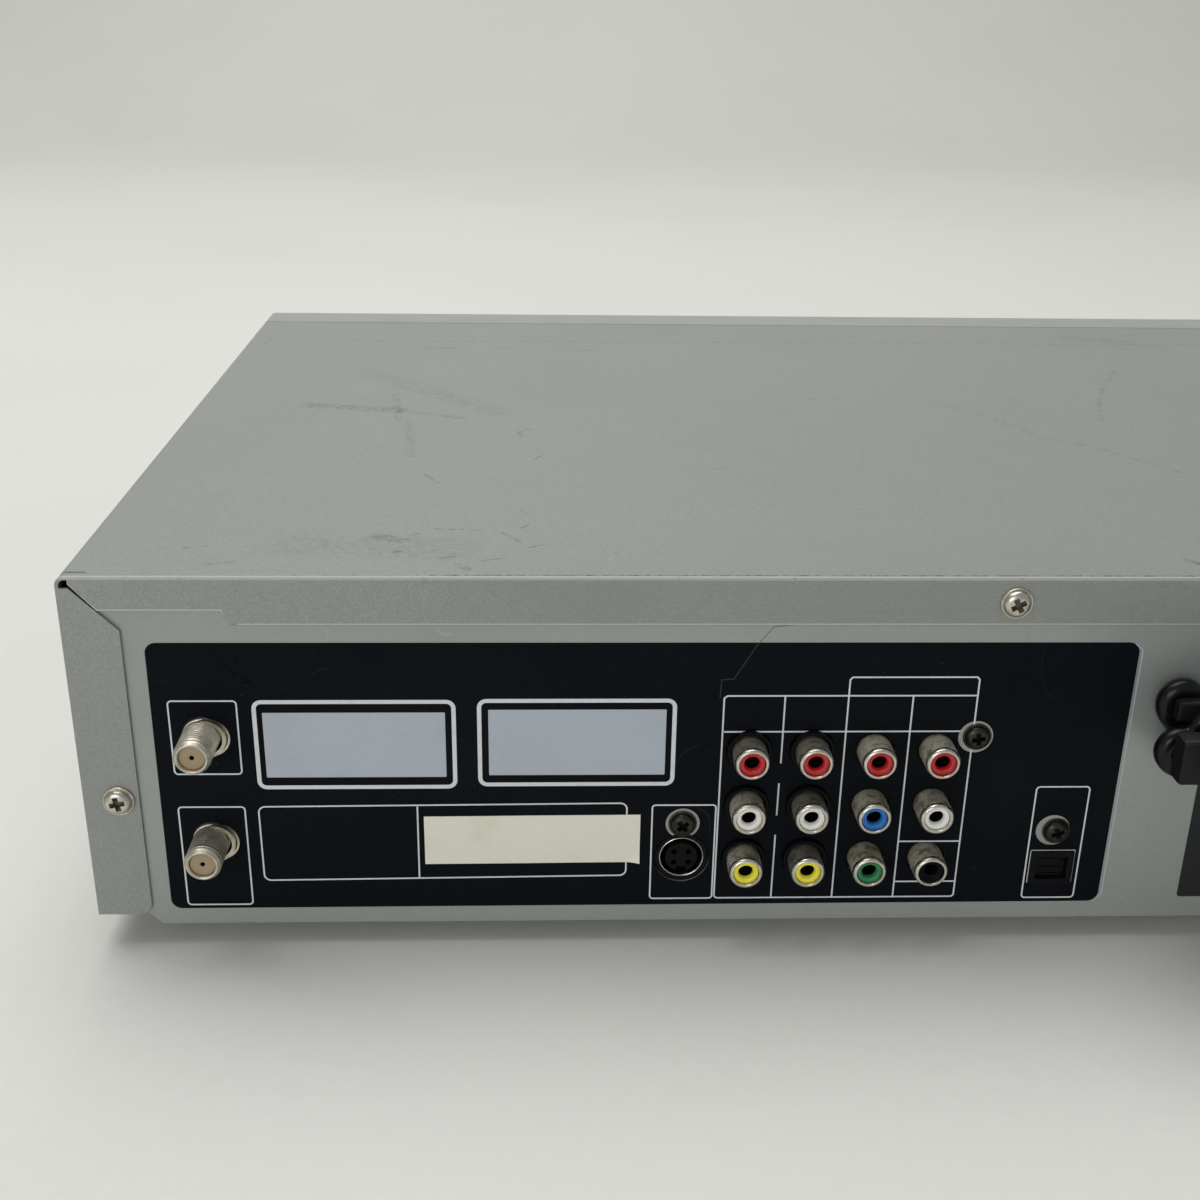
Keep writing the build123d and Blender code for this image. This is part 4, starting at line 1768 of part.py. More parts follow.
def make_mains_plug():
    """Two-blade plug lying against the hank, with its tapered tail towards the cord."""
    back = HANK_X + HANK_RUN / 2 - TAIL_RUN
    y = plug_y()
    z = HANK_Z + PLUG_LEVEL
    tail = Pos(back - PLUG_TAIL / 2, y, z) * Rot(0, -90, 0) * Cone(CORD_RADIUS, PLUG_TAIL_RADIUS, PLUG_TAIL)
    body_end = back - PLUG_TAIL - PLUG_LENGTH
    section = RectangleRounded(PLUG_WIDTH, PLUG_THICK, PLUG_ROUND)
    body = extrude(Plane(origin=(body_end, y, z), x_dir=(0, 1, 0), z_dir=(1, 0, 0)) * section, amount=PLUG_LENGTH)
    plug = body + tail
    for side in (-1, 1):
        blade_y = y + side * BLADE_SPACING / 2
        plug += block(body_end - BLADE_LENGTH, body_end, blade_y - BLADE_THICK / 2, blade_y + BLADE_THICK / 2,
                      z - BLADE_WIDTH / 2, z + BLADE_WIDTH / 2)
    return plug


def build_nodes():
    """Every node of the machine by name."""
    nodes = {
        "top_cover": make_top_cover(),
        "base_plate": make_base_plate(),
        "rear_panel": make_rear_panel(),
        "front_bezel": make_front_bezel(),
        "display_window": make_display_window(),
        "feet": make_feet(),
        "cover_screws": group(screw(x, z, REAR) for x, z in screw_places()),
        "panel_screws": group(screw(x, z, PANEL_OUT) for x, z in panel_screw_places()),
        "cassette_door": make_cassette_door(),
        "power_button": make_power_button(),
        "key_board": make_key_board(),
        "jack_housings": make_jack_housings(),
        "jack_shells": make_jack_shells(),
        "tuner_can": make_tuner_can(),
        "rf_connectors": make_rf_connectors(),
        "rf_insulators": make_rf_insulators(),
        "svideo_socket": make_svideo_socket(),
        "optical_socket": make_optical_socket(),
        "optical_shutter": make_optical_shutter(),
        "main_board": make_main_board(),
        "power_supply": make_power_supply(),
        "deck_plate": group([make_deck_plate()] + make_side_plates()),
        "holder_sliders": make_holder_sliders(),
        "cassette_holder": make_cassette_holder(),
        "lower_drum": make_lower_drum(),
        "head_drum": make_head_drum(),
        "capstan": make_capstan(),
        "pinch_arm": make_pinch_arm(),
        "pinch_roller": make_pinch_roller(),
        "supply_reel": make_reel(-1),
        "takeup_reel": make_reel(1),
        "entry_guide": make_guide(-1),
        "exit_guide": make_guide(1),
        "tape_heads": make_tape_heads(),
        "drive_motors": make_drive_motors(),
        "loader_frame": make_loader_frame(),
        "disc_tray": make_disc_tray(),
        "tray_front": make_tray_front(),
        "tray_gear": make_tray_gear(),
        "motor_pulley": make_motor_pulley(),
        "tray_belt": make_tray_belt(),
        "clamp_puck": make_clamp_puck(),
        "traverse_frame": make_traverse_frame(),
        "turntable": make_turntable(),
        "pickup_sled": make_pickup_sled(),
        "lead_screw": make_lead_screw(),
        "strain_relief": make_strain_relief(),
        "mains_lead": make_mains_lead(),
        "mains_hank": make_mains_hank(),
        "mains_plug": make_mains_plug(),
    }
    for name, x, z, width, height in front_keys():
        nodes[name] = make_key(x, z, width, height)
    for colour in ("red", "white", "yellow", "blue", "green"):
        nodes[colour + "_jack_inserts"] = make_jack_inserts(colour)
    return nodes


os.makedirs("parts", exist_ok=True)
for node_name, node_shape in build_nodes().items():
    export_step(node_shape, "parts/" + node_name + ".step")
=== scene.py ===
import math

import bmesh
import bpy
from mathutils import Matrix, Vector


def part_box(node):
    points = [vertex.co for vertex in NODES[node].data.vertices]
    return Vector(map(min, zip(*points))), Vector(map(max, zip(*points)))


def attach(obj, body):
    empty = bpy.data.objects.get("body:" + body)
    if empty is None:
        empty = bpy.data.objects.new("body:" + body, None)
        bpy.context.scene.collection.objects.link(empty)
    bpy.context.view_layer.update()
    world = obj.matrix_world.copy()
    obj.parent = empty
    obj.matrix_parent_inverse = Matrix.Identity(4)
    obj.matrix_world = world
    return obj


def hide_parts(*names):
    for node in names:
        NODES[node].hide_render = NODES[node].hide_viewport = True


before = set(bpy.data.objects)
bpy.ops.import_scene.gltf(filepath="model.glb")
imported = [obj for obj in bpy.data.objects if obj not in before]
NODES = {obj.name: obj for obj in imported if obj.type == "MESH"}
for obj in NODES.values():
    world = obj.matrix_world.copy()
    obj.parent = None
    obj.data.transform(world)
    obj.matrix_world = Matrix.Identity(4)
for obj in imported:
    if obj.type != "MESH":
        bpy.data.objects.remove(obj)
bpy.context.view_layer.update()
MM = 0.001

COVER_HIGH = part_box("top_cover")[1]
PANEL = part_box("rear_panel")[1].y
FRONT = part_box("front_bezel")[0].y
EDGE = COVER_HIGH.x
TOP = COVER_HIGH.z
REAR = COVER_HIGH.y

# Camera


def set_camera():
    """Camera at the photograph's place, looking down at the left half of the rear."""
    data = bpy.data.cameras.new("photo_camera")
    data.lens = 44.68
    data.sensor_width = 36.0
    data.clip_start = 0.01
    camera = bpy.data.objects.new("photo_camera", data)
    right = (-0.999326, 0.033713, 0.014519)
    up = (0.000425, -0.384892, 0.922961)
    back = (0.036704, 0.922346, 0.384618)
    place = (0.1068, REAR + 0.308, TOP + 0.12298)
    camera.matrix_world = Matrix([*zip(right, up, back, place), (0, 0, 0, 1)])
    bpy.context.scene.collection.objects.link(camera)
    bpy.context.scene.camera = camera


set_camera()

# Shared effects for the finishes


class Nodes:
    """Short words for building a shader node tree."""

    def __init__(self, tree):
        self.tree = tree

    def put(self, socket, value):
        """Link a socket to another socket, or set it to a plain value."""
        if isinstance(value, bpy.types.NodeSocket):
            self.tree.links.new(value, socket)
        else:
            socket.default_value = value

    def node(self, kind, **settings):
        node = self.tree.nodes.new(kind)
        for name, value in settings.items():
            setattr(node, name, value)
        return node

    def math(self, operation, *values, clamp=False):
        node = self.node("ShaderNodeMath", operation=operation, use_clamp=clamp)
        for socket, value in zip(node.inputs, values):
            self.put(socket, value)
        return node.outputs[0]

    def vector(self, operation, *values):
        node = self.node("ShaderNodeVectorMath", operation=operation)
        for socket, value in zip([s for s in node.inputs if s.name != "Scale"], values):
            self.put(socket, value)
        return node.outputs["Value" if operation in ("DOT_PRODUCT", "LENGTH") else "Vector"]

    def scaled(self, vector, share):
        node = self.node("ShaderNodeVectorMath", operation="SCALE")
        self.put(node.inputs[0], vector)
        self.put(node.inputs["Scale"], share)
        return node.outputs["Vector"]

    def remap(self, value, low, high):
        node = self.node("ShaderNodeMapRange", interpolation_type="SMOOTHSTEP")
        for name, given in (("Value", value), ("From Min", low), ("From Max", high)):
            self.put(node.inputs[name], given)
        return node.outputs["Result"]

    def place(self):
        """Place on the part."""
        return self.node("ShaderNodeTexCoord").outputs["Object"]

    def noise(self, where, scale, detail=2.0, rough=0.5):
        node = self.node("ShaderNodeTexNoise")
        for name, given in (("Vector", where), ("Scale", scale), ("Detail", detail), ("Roughness", rough)):
            self.put(node.inputs[name], given)
        return node.outputs["Fac"]

    def cells(self, scale):
        """Random cells over the part: the distance to each cell's point, and the cell's random numbers."""
        node = self.node("ShaderNodeTexVoronoi")
        self.put(node.inputs["Vector"], self.place())
        self.put(node.inputs["Scale"], scale)
        split = self.node("ShaderNodeSeparateColor")
        self.put(split.inputs["Color"], node.outputs["Color"])
        return node.outputs["Distance"], split.outputs

    def about_one(self, value, depth):
        """A shade that swings about one, from a value that swings about a half."""
        return self.math("MULTIPLY_ADD", self.math("SUBTRACT", value, 0.5), depth, 1.0)


class Effect(Nodes):
    """A shader node group with named inputs and outputs."""

    def __init__(self, name, outputs, **inputs):
        super().__init__(bpy.data.node_groups.new(name, "ShaderNodeTree"))
        for socket, value in inputs.items():
            kind = "NodeSocketVector" if isinstance(value, tuple) else "NodeSocketFloat"
            self.tree.interface.new_socket(socket, in_out="INPUT", socket_type=kind).default_value = value
        for socket in outputs:
            self.tree.interface.new_socket(socket, in_out="OUTPUT", socket_type="NodeSocketFloat")
        self.given = self.tree.nodes.new("NodeGroupInput").outputs
        self.results = self.tree.nodes.new("NodeGroupOutput").inputs

    def give(self, name, socket):
        self.put(self.results[name], socket)


def make_flake():
    """Fine flakes of a metallic paint, lighter and darker cells."""
    e = Effect("metal_flake", ["Shade"], Scale=3000.0, Depth=0.06)
    chance = e.cells(e.given["Scale"])[1]
    e.give("Shade", e.about_one(chance["Red"], e.math("MULTIPLY", e.given["Depth"], 2.0)))
    return e.tree


def make_cloud():
    """Soft uneven patches."""
    e = Effect("soft_patches", ["Mask"], Scale=12.0, Low=0.45, High=0.7)
    patches = e.noise(e.place(), e.given["Scale"], 4.0, 0.55)
    e.give("Mask", e.remap(patches, e.given["Low"], e.given["High"]))
    return e.tree


def make_scratches():
    """Thin broken scratches, drawn out by the stretch."""
    e = Effect("thin_scratches", ["Mask"], Stretch=(60.0, 6.0, 60.0), Width=0.006, Bare=0.55)
    where = e.vector("MULTIPLY", e.place(), e.given["Stretch"])
    off = e.math("ABSOLUTE", e.math("SUBTRACT", e.noise(where, 1.0, 1.0, 0.4), 0.5))
    thin = e.remap(off, e.given["Width"], 0.0)
    shown = e.remap(e.noise(where, 2.3), e.given["Bare"], e.math("ADD", e.given["Bare"], 0.08))
    e.give("Mask", e.math("MULTIPLY", thin, shown))
    return e.tree


def make_specks():
    """Separate small specks of dust or pitting."""
    e = Effect("dust_specks", ["Mask"], Scale=300.0, Size=0.12, Share=0.8)
    distance, chance = e.cells(e.given["Scale"])
    dot = e.remap(distance, e.given["Size"], e.math("MULTIPLY", e.given["Size"], 0.4))
    e.give("Mask", e.math("MULTIPLY", dot, e.math("GREATER_THAN", chance["Green"], e.given["Share"])))
    return e.tree


def make_grain():
    """Fine spark-eroded grain of moulded plastic, as a height and a slight shade."""
    e = Effect("moulded_grain", ["Height", "Shade"], Scale=2500.0, Depth=0.05)
    grain = e.noise(e.place(), e.given["Scale"], 3.0, 0.6)
    e.give("Height", grain)
    e.give("Shade", e.about_one(grain, e.given["Depth"]))
    return e.tree


def make_brushing():
    """Drawn or brushed metal: noise stretched along one direction."""
    e = Effect("brushed_lines", ["Height", "Shade"], Stretch=(4000.0, 60.0, 4000.0), Depth=0.2)
    lines = e.noise(e.vector("MULTIPLY", e.place(), e.given["Stretch"]), 1.0, 2.0, 0.6)
    e.give("Height", lines)
    e.give("Shade", e.about_one(lines, e.given["Depth"]))
    return e.tree


def make_stroke():
    """A single rubbed mark along a line from one point to another."""
    e = Effect("rubbed_mark", ["Mask"], From=(0, 0, 0), To=(0, 0, 0), Half=0.001, Broken=0.3)
    start, half, broken = e.given["From"], e.given["Half"], e.given["Broken"]
    where = e.place()
    along = e.vector("SUBTRACT", e.given["To"], start)
    reach = e.vector("SUBTRACT", where, start)
    share = e.math("DIVIDE", e.vector("DOT_PRODUCT", reach, along), e.vector("DOT_PRODUCT", along, along),
                   clamp=True)
    off = e.vector("LENGTH", e.vector("SUBTRACT", reach, e.scaled(along, share)))
    near = e.remap(off, half, e.math("MULTIPLY", half, 0.3))
    shown = e.remap(e.noise(where, 420.0, 3.0, 0.7), broken, e.math("ADD", broken, 0.2))
    e.give("Mask", e.math("MULTIPLY", near, shown))
    return e.tree


FLAKE = make_flake()
CLOUD = make_cloud()
SCRATCHES = make_scratches()
SPECKS = make_specks()
GRAIN = make_grain()
BRUSHING = make_brushing()
STROKE = make_stroke()


class Finish(Nodes):
    """A material: one Principled shader, a base colour and the layers put over it."""

    def __init__(self, name, colour, rough, metal=0.0, coat=0.0, specular=0.5):
        self.material = bpy.data.materials.new(name)
        self.material.use_nodes = True
        super().__init__(self.material.node_tree)
        self.tree.nodes.clear()
        out = self.node("ShaderNodeOutputMaterial")
        shader = self.node("ShaderNodeBsdfPrincipled")
        self.put(out.inputs["Surface"], shader.outputs["BSDF"])
        self.inputs = shader.inputs
        self.colour = (*colour, 1.0)
        self.rough = rough
        self.heights = []
        for socket, value in (("Metallic", metal), ("Roughness", rough), ("Specular IOR Level", specular),
                              ("Coat Weight", coat), ("Coat Roughness", 0.12), ("Base Color", self.colour)):
            self.put(self.inputs[socket], value)
        self.material.diffuse_color = self.colour

    def effect(self, group, output, **values):
        node = self.node("ShaderNodeGroup", node_tree=group)
        for name, value in values.items():
            self.put(node.inputs[name], value)
        return node.outputs[output]

    def mix(self, kind, factor, colour):
        node = self.node("ShaderNodeMix", data_type="RGBA", blend_type=kind)
        for socket, value in ((0, factor), (6, self.colour), (7, colour)):
            self.put(node.inputs[socket], value)
        self.colour = node.outputs[2]

    def shade(self, value):
        """Multiply the colour by a value that changes over the surface."""
        grey = self.node("ShaderNodeCombineColor")
        for socket in grey.inputs:
            self.put(socket, value)
        self.mix("MULTIPLY", 1.0, grey.outputs["Color"])

    def layer(self, mask, colour, share):
        """Lay another colour over the base where the mask says so."""
        self.mix("MIX", self.math("MULTIPLY", mask, share), (*colour, 1.0))

    def roughen(self, mask, amount):
        """Raise the roughness where the mask says so."""
        self.rough = self.math("MULTIPLY_ADD", mask, amount, self.rough, clamp=True)

    def raise_by(self, height, millimetres):
        self.heights.append((height, millimetres * MM))

    def grain(self, scale, depth):
        self.shade(self.effect(GRAIN, "Shade", Scale=scale, Depth=depth))

    def bumps(self, scale, millimetres):
        self.raise_by(self.effect(GRAIN, "Height", Scale=scale, Depth=0.0), millimetres)

    def brushed(self, stretch, depth, millimetres):
        self.shade(self.effect(BRUSHING, "Shade", Stretch=stretch, Depth=depth))
        self.raise_by(self.effect(BRUSHING, "Height", Stretch=stretch, Depth=0.0), millimetres)

    def patches(self, scale, low, high, colour, share, rougher=0.0):
        mask = self.effect(CLOUD, "Mask", Scale=scale, Low=low, High=high)
        self.layer(mask, colour, share)
        if rougher:
            self.roughen(mask, rougher)

    def specks(self, scale, size, bare, colour, share):
        self.layer(self.effect(SPECKS, "Mask", Scale=scale, Size=size, Share=bare), colour, share)

    def scratches(self, stretch, width, bare, colour, share):
        self.layer(self.effect(SCRATCHES, "Mask", Stretch=stretch, Width=width, Bare=bare), colour, share)

    def stroke(self, start, end, half, broken, colour, share):
        """A rubbed mark between two points, with half its width in mm."""
        mark = self.effect(STROKE, "Mask", From=start, To=end, Half=half * MM, Broken=broken)
        self.layer(mark, colour, share)

    def line(self, points, to_place, *look):
        """Rubbed marks along a row of points on one face."""
        for start, end in zip(points, points[1:]):
            self.stroke(to_place(*start), to_place(*end), *look)

    def done(self):
        self.put(self.inputs["Base Color"], self.colour)
        self.put(self.inputs["Roughness"], self.rough)
        normal = None
        for height, distance in self.heights:
            bump = self.node("ShaderNodeBump")
            for name, value in (("Strength", 1.0), ("Distance", distance), ("Height", height)):
                self.put(bump.inputs[name], value)
            if normal is not None:
                self.put(bump.inputs["Normal"], normal)
            normal = bump.outputs["Normal"]
        if normal is not None:
            self.put(self.inputs["Normal"], normal)
        return self.material


def on_top(across, behind):
    """Point on the cover's top, measured from its left rear corner as seen from behind."""
    return (EDGE - across * MM, REAR + behind * MM, TOP)


def rear_point(across, down, out=0.0):
    """Point on the rear panel in mm: across from its left side as seen from behind, down, and out of it."""
    return Vector((EDGE - across * MM, PANEL + out * MM, TOP - down * MM))


SCUFFS = [(6.6, -228.0, 7.7, -234.5, 0.8, 0.8), (48.5, -185.3, 92.9, -137.2, 6.0, 0.22),
          (35.6, -143.4, 63.2, -138.5, 3.4, 0.5), (63.2, -138.5, 82.7, -130.0, 1.6, 0.45),
          (60.5, -157.5, 64.1, -128.4, 1.5, 0.5), (66.9, -128.4, 71.0, -89.9, 1.6, 0.25),
          (65.7, -221.8, 75.7, -222.1, 1.8, 0.45), (90.4, -222.5, 95.8, -222.6, 1.6, 0.4),
          (118.4, -219.2, 124.5, -219.4, 1.2, 0.45), (305.9, -245.3, 325.2, -239.2, 5.0, 0.3),
          (68.2, -26.4, 74.4, -23.0, 2.6, 0.5), (74.1, -15.7, 76.0, -13.1, 1.4, 0.6),
          (88.4, -7.5, 90.6, -5.0, 1.3, 0.65), (50.9, -20.2, 85.7, -18.4, 9.0, 0.2),
          (23.6, -18.1, 29.1, -19.4, 0.9, 0.5), (31.6, -7.3, 36.9, -9.2, 1.0, 0.5),
          (258.0, -11.3, 259.8, -8.7, 1.0, 0.8), (34.2, -232.7, 352.9, -235.0, 0.9, 0.4)]
FINE_LINES = [(75.8, -74.6, 79.9, -67.3), (105.2, -88.1, 107.2, -92.2), (99.6, -114.5, 103.7, -118.4),
              (100.5, -115.0, 101.1, -109.9), (102.0, -45.5, 103.4, -42.6), (102.2, -32.2, 104.1, -34.4),
              (104.2, -18.8, 107.9, -20.5), (124.3, -16.0, 124.9, -14.4), (81.5, -31.5, 92.5, -30.7),
              (97.8, -29.0, 102.4, -22.6), (75.9, -26.7, 78.0, -28.3), (83.9, -11.6, 87.8, -13.2),
              (93.3, -10.0, 98.2, -11.7)]
SHORT_LINE = [(305.9, -194.0), (293.2, -169.6), (284.1, -147.5), (279.0, -130.2)]
LONG_LINE = [(233.4, -150.1), (246.4, -129.6), (255.2, -111.2), (269.5, -99.3), (279.1, -84.2),
             (286.4, -73.4)]
CRACK = [(165.7, 11.8), (160.2, 12.4), (156.6, 17.0), (151.7, 25.5), (148.9, 25.7), (148.7, 30.2)]
PRINT_RUBS = [((32.5, 17.7), (39.6, 26.8)), ((30.5, 18.0), (33.5, 22.5)), ((37.5, 19.5), (40.5, 26.5))]
GRIME = (0.09, 0.095, 0.09)
COVER_LENGTH, COVER_WIDTH = 264.5, 430.0
REAR_EDGE_DIRT = [(46.0, 90.0, 0.4, 0.5, 0.85), (84.0, COVER_WIDTH, 0.42, 0.4, 0.9)]
LIP_SHORT, LIP_LONG, LIP_STEP, SIDE_LIP = 8.0 * MM, 11.45 * MM, 36.0 * MM, 8.5 * MM


def lip_edge_highlights():
    """Start and end (x, z) of the cut edges of the cover's rear lips, where painted highlights go."""
    low, deep = TOP - LIP_SHORT, TOP - LIP_LONG
    step, side, bend = EDGE - LIP_STEP, EDGE - SIDE_LIP, 3.5 * MM
    return [((side, low), (step, low)), ((-side, low), (-step, low)),
            ((step - bend, deep), (bend - step, deep)), ((step, low), (step, low - 1.5 * MM)),
            ((EDGE - 2.7 * MM, TOP - 1.9 * MM), (side, low))]


def cover_paint():
    """Silver-grey metallic paint with rubbed marks and dirt, a light line along the worn rear bend that is
    partly painted highlight, painted highlights on the lips' cut edges and a painted shadow along the front
    edge.
    """
    f = Finish("cover_paint", (0.298, 0.311, 0.293), 0.42, metal=0.35)
    f.shade(f.effect(FLAKE, "Shade", Scale=2600.0, Depth=0.09))
    f.grain(700.0, 0.05)
    f.patches(9.0, 0.42, 0.75, (0.252, 0.266, 0.248), 0.5, rougher=0.08)
    f.scratches((26.0, 60.0, 40.0), 0.004, 0.6, (0.19, 0.20, 0.19), 0.45)
    # Light line along the rear top bend: painted highlight where the bend catches light, with some wear.
    f.stroke((-EDGE, REAR, TOP), (EDGE, REAR, TOP), 1.0, 0.2, (0.56, 0.57, 0.54), 0.65)
    # Painted highlights along the cut edges of the rear lips.
    for (x0, z0), (x1, z1) in lip_edge_highlights():
        f.stroke((x0, REAR, z0), (x1, REAR, z1), 0.34, 0.15, (0.50, 0.51, 0.48), 0.85)
    for x0, y0, x1, y1, half, share in SCUFFS:
        f.stroke(on_top(x0, y0), on_top(x1, y1), half * 1.2, 0.4, GRIME, share * 0.85)
    for x0, y0, x1, y1 in FINE_LINES:
        f.stroke(on_top(x0, y0), on_top(x1, y1), 0.5, 0.36, GRIME, 0.55)
    for points in (SHORT_LINE, LONG_LINE):
        f.line(points, on_top, 1.0, 0.4, GRIME, 0.28)
    for start, end, half, broken, share in REAR_EDGE_DIRT:
        f.stroke(on_top(start, -1.15), on_top(end, -1.15), half, broken, (0.035, 0.035, 0.035), share)
    # Painted shadow along the gap between the cover's front edge and the bezel.
    front = -COVER_LENGTH
    f.stroke(on_top(0.0, front), on_top(COVER_WIDTH, front), 1.5, 0.05, (0.12, 0.125, 0.12), 0.75)
    f.stroke(on_top(0.7, -2.9), on_top(6.2, -2.7), 0.5, 0.2, (0.06, 0.06, 0.06), 0.9)
    f.specks(120.0, 0.05, 0.86, (0.20, 0.20, 0.19), 0.7)
    f.bumps(1800.0, 0.012)
    return f.done()


def panel_paint():
    """Smoother greenish-grey coating of the rear panel."""
    f = Finish("panel_paint", (0.33, 0.356, 0.335), 0.38, metal=0.3)
    f.shade(f.effect(FLAKE, "Shade", Scale=3600.0, Depth=0.05))
    f.patches(16.0, 0.45, 0.8, (0.285, 0.306, 0.289), 0.5)
    f.scratches((70.0, 70.0, 24.0), 0.004, 0.62, (0.43, 0.45, 0.43), 0.5)
    # Painted shadow: thin dark line on the panel just under the cover's lips.
    for start, end, down in ((10.0, 35.5, 8.25), (38.0, 392.0, 11.75), (394.5, 420.0, 8.25)):
        f.stroke(rear_point(start, down), rear_point(end, down), 0.4, 0.1, (0.12, 0.13, 0.12), 0.7)
    f.line(CRACK[:3], rear_point, 0.2, 0.1, (0.10, 0.11, 0.10), 0.8)
    f.specks(150.0, 0.05, 0.85, (0.18, 0.19, 0.18), 0.7)
    f.bumps(1400.0, 0.006)
    return f.done()


def black_print():
    """Blue-black screen print with dust and faint rubs."""
    f = Finish("black_print", (0.0034, 0.0045, 0.0068), 0.5, specular=0.06)
    f.grain(900.0, 0.5)
    f.patches(28.0, 0.5, 0.8, (0.0062, 0.0075, 0.0102), 0.7)
    f.specks(420.0, 0.16, 0.72, (0.16, 0.165, 0.17), 0.8)
    f.scratches((40.0, 40.0, 24.0), 0.003, 0.6, (0.03, 0.032, 0.037), 0.5)
    f.line(CRACK[1:], rear_point, 0.2, 0.1, (0.05, 0.052, 0.057), 0.8)
    for rub in PRINT_RUBS:
        f.line(rub, rear_point, 1.1, 0.42, (0.0012, 0.0014, 0.0018), 0.9)
    f.roughen(f.effect(CLOUD, "Mask", Scale=60.0, Low=0.35, High=0.75), 0.16)
    return f.done()


def light_print():
    f = Finish("light_print", (0.66, 0.69, 0.71), 0.55)
    f.grain(1500.0, 0.35)
    f.patches(300.0, 0.5, 0.75, (0.50, 0.53, 0.55), 0.5)
    return f.done()


def plate_print():
    """Pale lilac-grey of the bare plates."""
    f = Finish("plate_print", (0.43, 0.474, 0.535), 0.45)
    f.grain(800.0, 0.12)
    f.specks(160.0, 0.05, 0.85, (0.2, 0.21, 0.23), 0.6)
    f.patches(40.0, 0.45, 0.8, (0.38, 0.415, 0.46), 0.5)
    return f.done()


def paper_label():
    """Yellowed paper of the bare sticker."""
    f = Finish("label_paper", (0.80, 0.77, 0.66), 0.7)
    f.grain(1100.0, 0.1)
    f.patches(60.0, 0.5, 0.8, (0.68, 0.63, 0.48), 0.55)
    f.specks(220.0, 0.06, 0.8, (0.35, 0.32, 0.26), 0.5)
    f.bumps(500.0, 0.01)
    return f.done()


def charcoal_label():
    f = Finish("charcoal_label", (0.020, 0.021, 0.023), 0.5, specular=0.2)
    f.grain(1200.0, 0.4)
    f.patches(50.0, 0.5, 0.8, (0.032, 0.033, 0.035), 0.6)
    f.specks(200.0, 0.05, 0.8, (0.1, 0.1, 0.1), 0.5)
    return f.done()


def plated(name, colour, rough, dirt, share, stretch=(900.0, 120.0, 900.0), metal=1.0, pits=0.2):
    """Nickel plating with drawn lines, tarnish and pits."""
    f = Finish(name, colour, rough, metal=metal)
    f.brushed(stretch, 0.35, 0.01)
    f.patches(420.0, 0.42, 0.7, dirt, share, rougher=0.18)
    f.specks(1500.0, pits, 0.7, dirt, share * 0.8)
    return f.done()


def plastic(name, colour, rough, grain=1800.0, depth=0.012, second=None, coat=0.0, specular=0.5):
    """Moulded plastic with a fine grain and slight unevenness."""
    f = Finish(name, colour, rough, coat=coat, specular=specular)
    f.grain(grain, 0.16)
    f.patches(45.0, 0.45, 0.8, second or tuple(c * 0.8 for c in colour), 0.45, rougher=0.08)
    f.bumps(grain, depth)
    return f.done()


def sheet_metal(name, colour, rough, stretch=(40.0, 900.0, 900.0)):
    """Rolled or galvanised sheet with a directional grain and a few scratches."""
    f = Finish(name, colour, rough, metal=1.0)
    f.brushed(stretch, 0.22, 0.006)
    f.patches(90.0, 0.4, 0.7, tuple(c * 0.82 for c in colour), 0.6, rougher=0.12)
    f.scratches((90.0, 30.0, 60.0), 0.004, 0.6, (0.8, 0.8, 0.8), 0.5)
    return f.done()


PAINT = cover_paint()
PANEL_PAINT = panel_paint()
BLACK_PRINT = black_print()
LIGHT_PRINT = light_print()
PLATE_PRINT = plate_print()
LABEL = paper_label()
CHARCOAL = charcoal_label()
BRIGHT_NICKEL = plated("bright_nickel", (0.66, 0.63, 0.55), 0.22, (0.36, 0.32, 0.25), 0.3)
DULL_NICKEL = plated("dull_nickel", (0.52, 0.485, 0.38), 0.5, (0.10, 0.09, 0.065), 0.85, metal=0.45,
                     pits=0.4)
# Darker copy of the nickel for the polished sleeves: the dark reflection they show is painted into the
# colour.
DARK_NICKEL = plated("dark_nickel", (0.33, 0.31, 0.25), 0.36, (0.06, 0.054, 0.04), 0.75, metal=0.6)
AERIAL_NICKEL = plated("aerial_nickel", (0.62, 0.58, 0.48), 0.38, (0.34, 0.30, 0.22), 0.4)
BLACK_SCREW = plated("black_screw", (0.05, 0.048, 0.043), 0.36, (0.02, 0.019, 0.016), 0.6)
SCREW_NICKEL = plated("screw_nickel", (0.60, 0.57, 0.49), 0.3, (0.33, 0.29, 0.22), 0.5)
# Darker nickel for the deep thread groove: painted shade.
AERIAL_GROOVE = plated("aerial_groove", (0.30, 0.27, 0.21), 0.5, (0.14, 0.12, 0.09), 0.6, metal=0.7)
# Dark brownish colour for the cover screws' cross recesses: painted shade inside the recess.
RECESS = plated("screw_recess", (0.15, 0.128, 0.105), 0.5, (0.05, 0.042, 0.034), 0.6, metal=0.25)
BARE_METAL = sheet_metal("bare_metal", (0.40, 0.40, 0.375), 0.45)
TAN = plastic("aerial_core", (0.36, 0.27, 0.17), 0.5, second=(0.28, 0.20, 0.12))
RED = plastic("red_insert", (0.56, 0.022, 0.025), 0.35, coat=0.3)
WHITE = plastic("white_insert", (0.92, 0.91, 0.88), 0.4, second=(0.80, 0.78, 0.72), coat=0.2)
YELLOW = plastic("yellow_insert", (0.95, 0.88, 0.08), 0.38, second=(0.84, 0.75, 0.07), coat=0.2)
BLUE = plastic("blue_insert", (0.025, 0.19, 0.56), 0.38, coat=0.2)
GREEN = plastic("green_insert", (0.03, 0.25, 0.095), 0.38, coat=0.2)
BLACK = plastic("black_plastic", (0.0045, 0.0048, 0.0055), 0.45, specular=0.09)
CORD_BLACK = plastic("cord_black", (0.0045, 0.0047, 0.0053), 0.28, grain=900.0, depth=0.02, coat=0.1,
                     specular=0.2)
PLUG_BLACK = plastic("plug_black", (0.0065, 0.0068, 0.0075), 0.4, grain=1500.0, depth=0.03, specular=0.2)
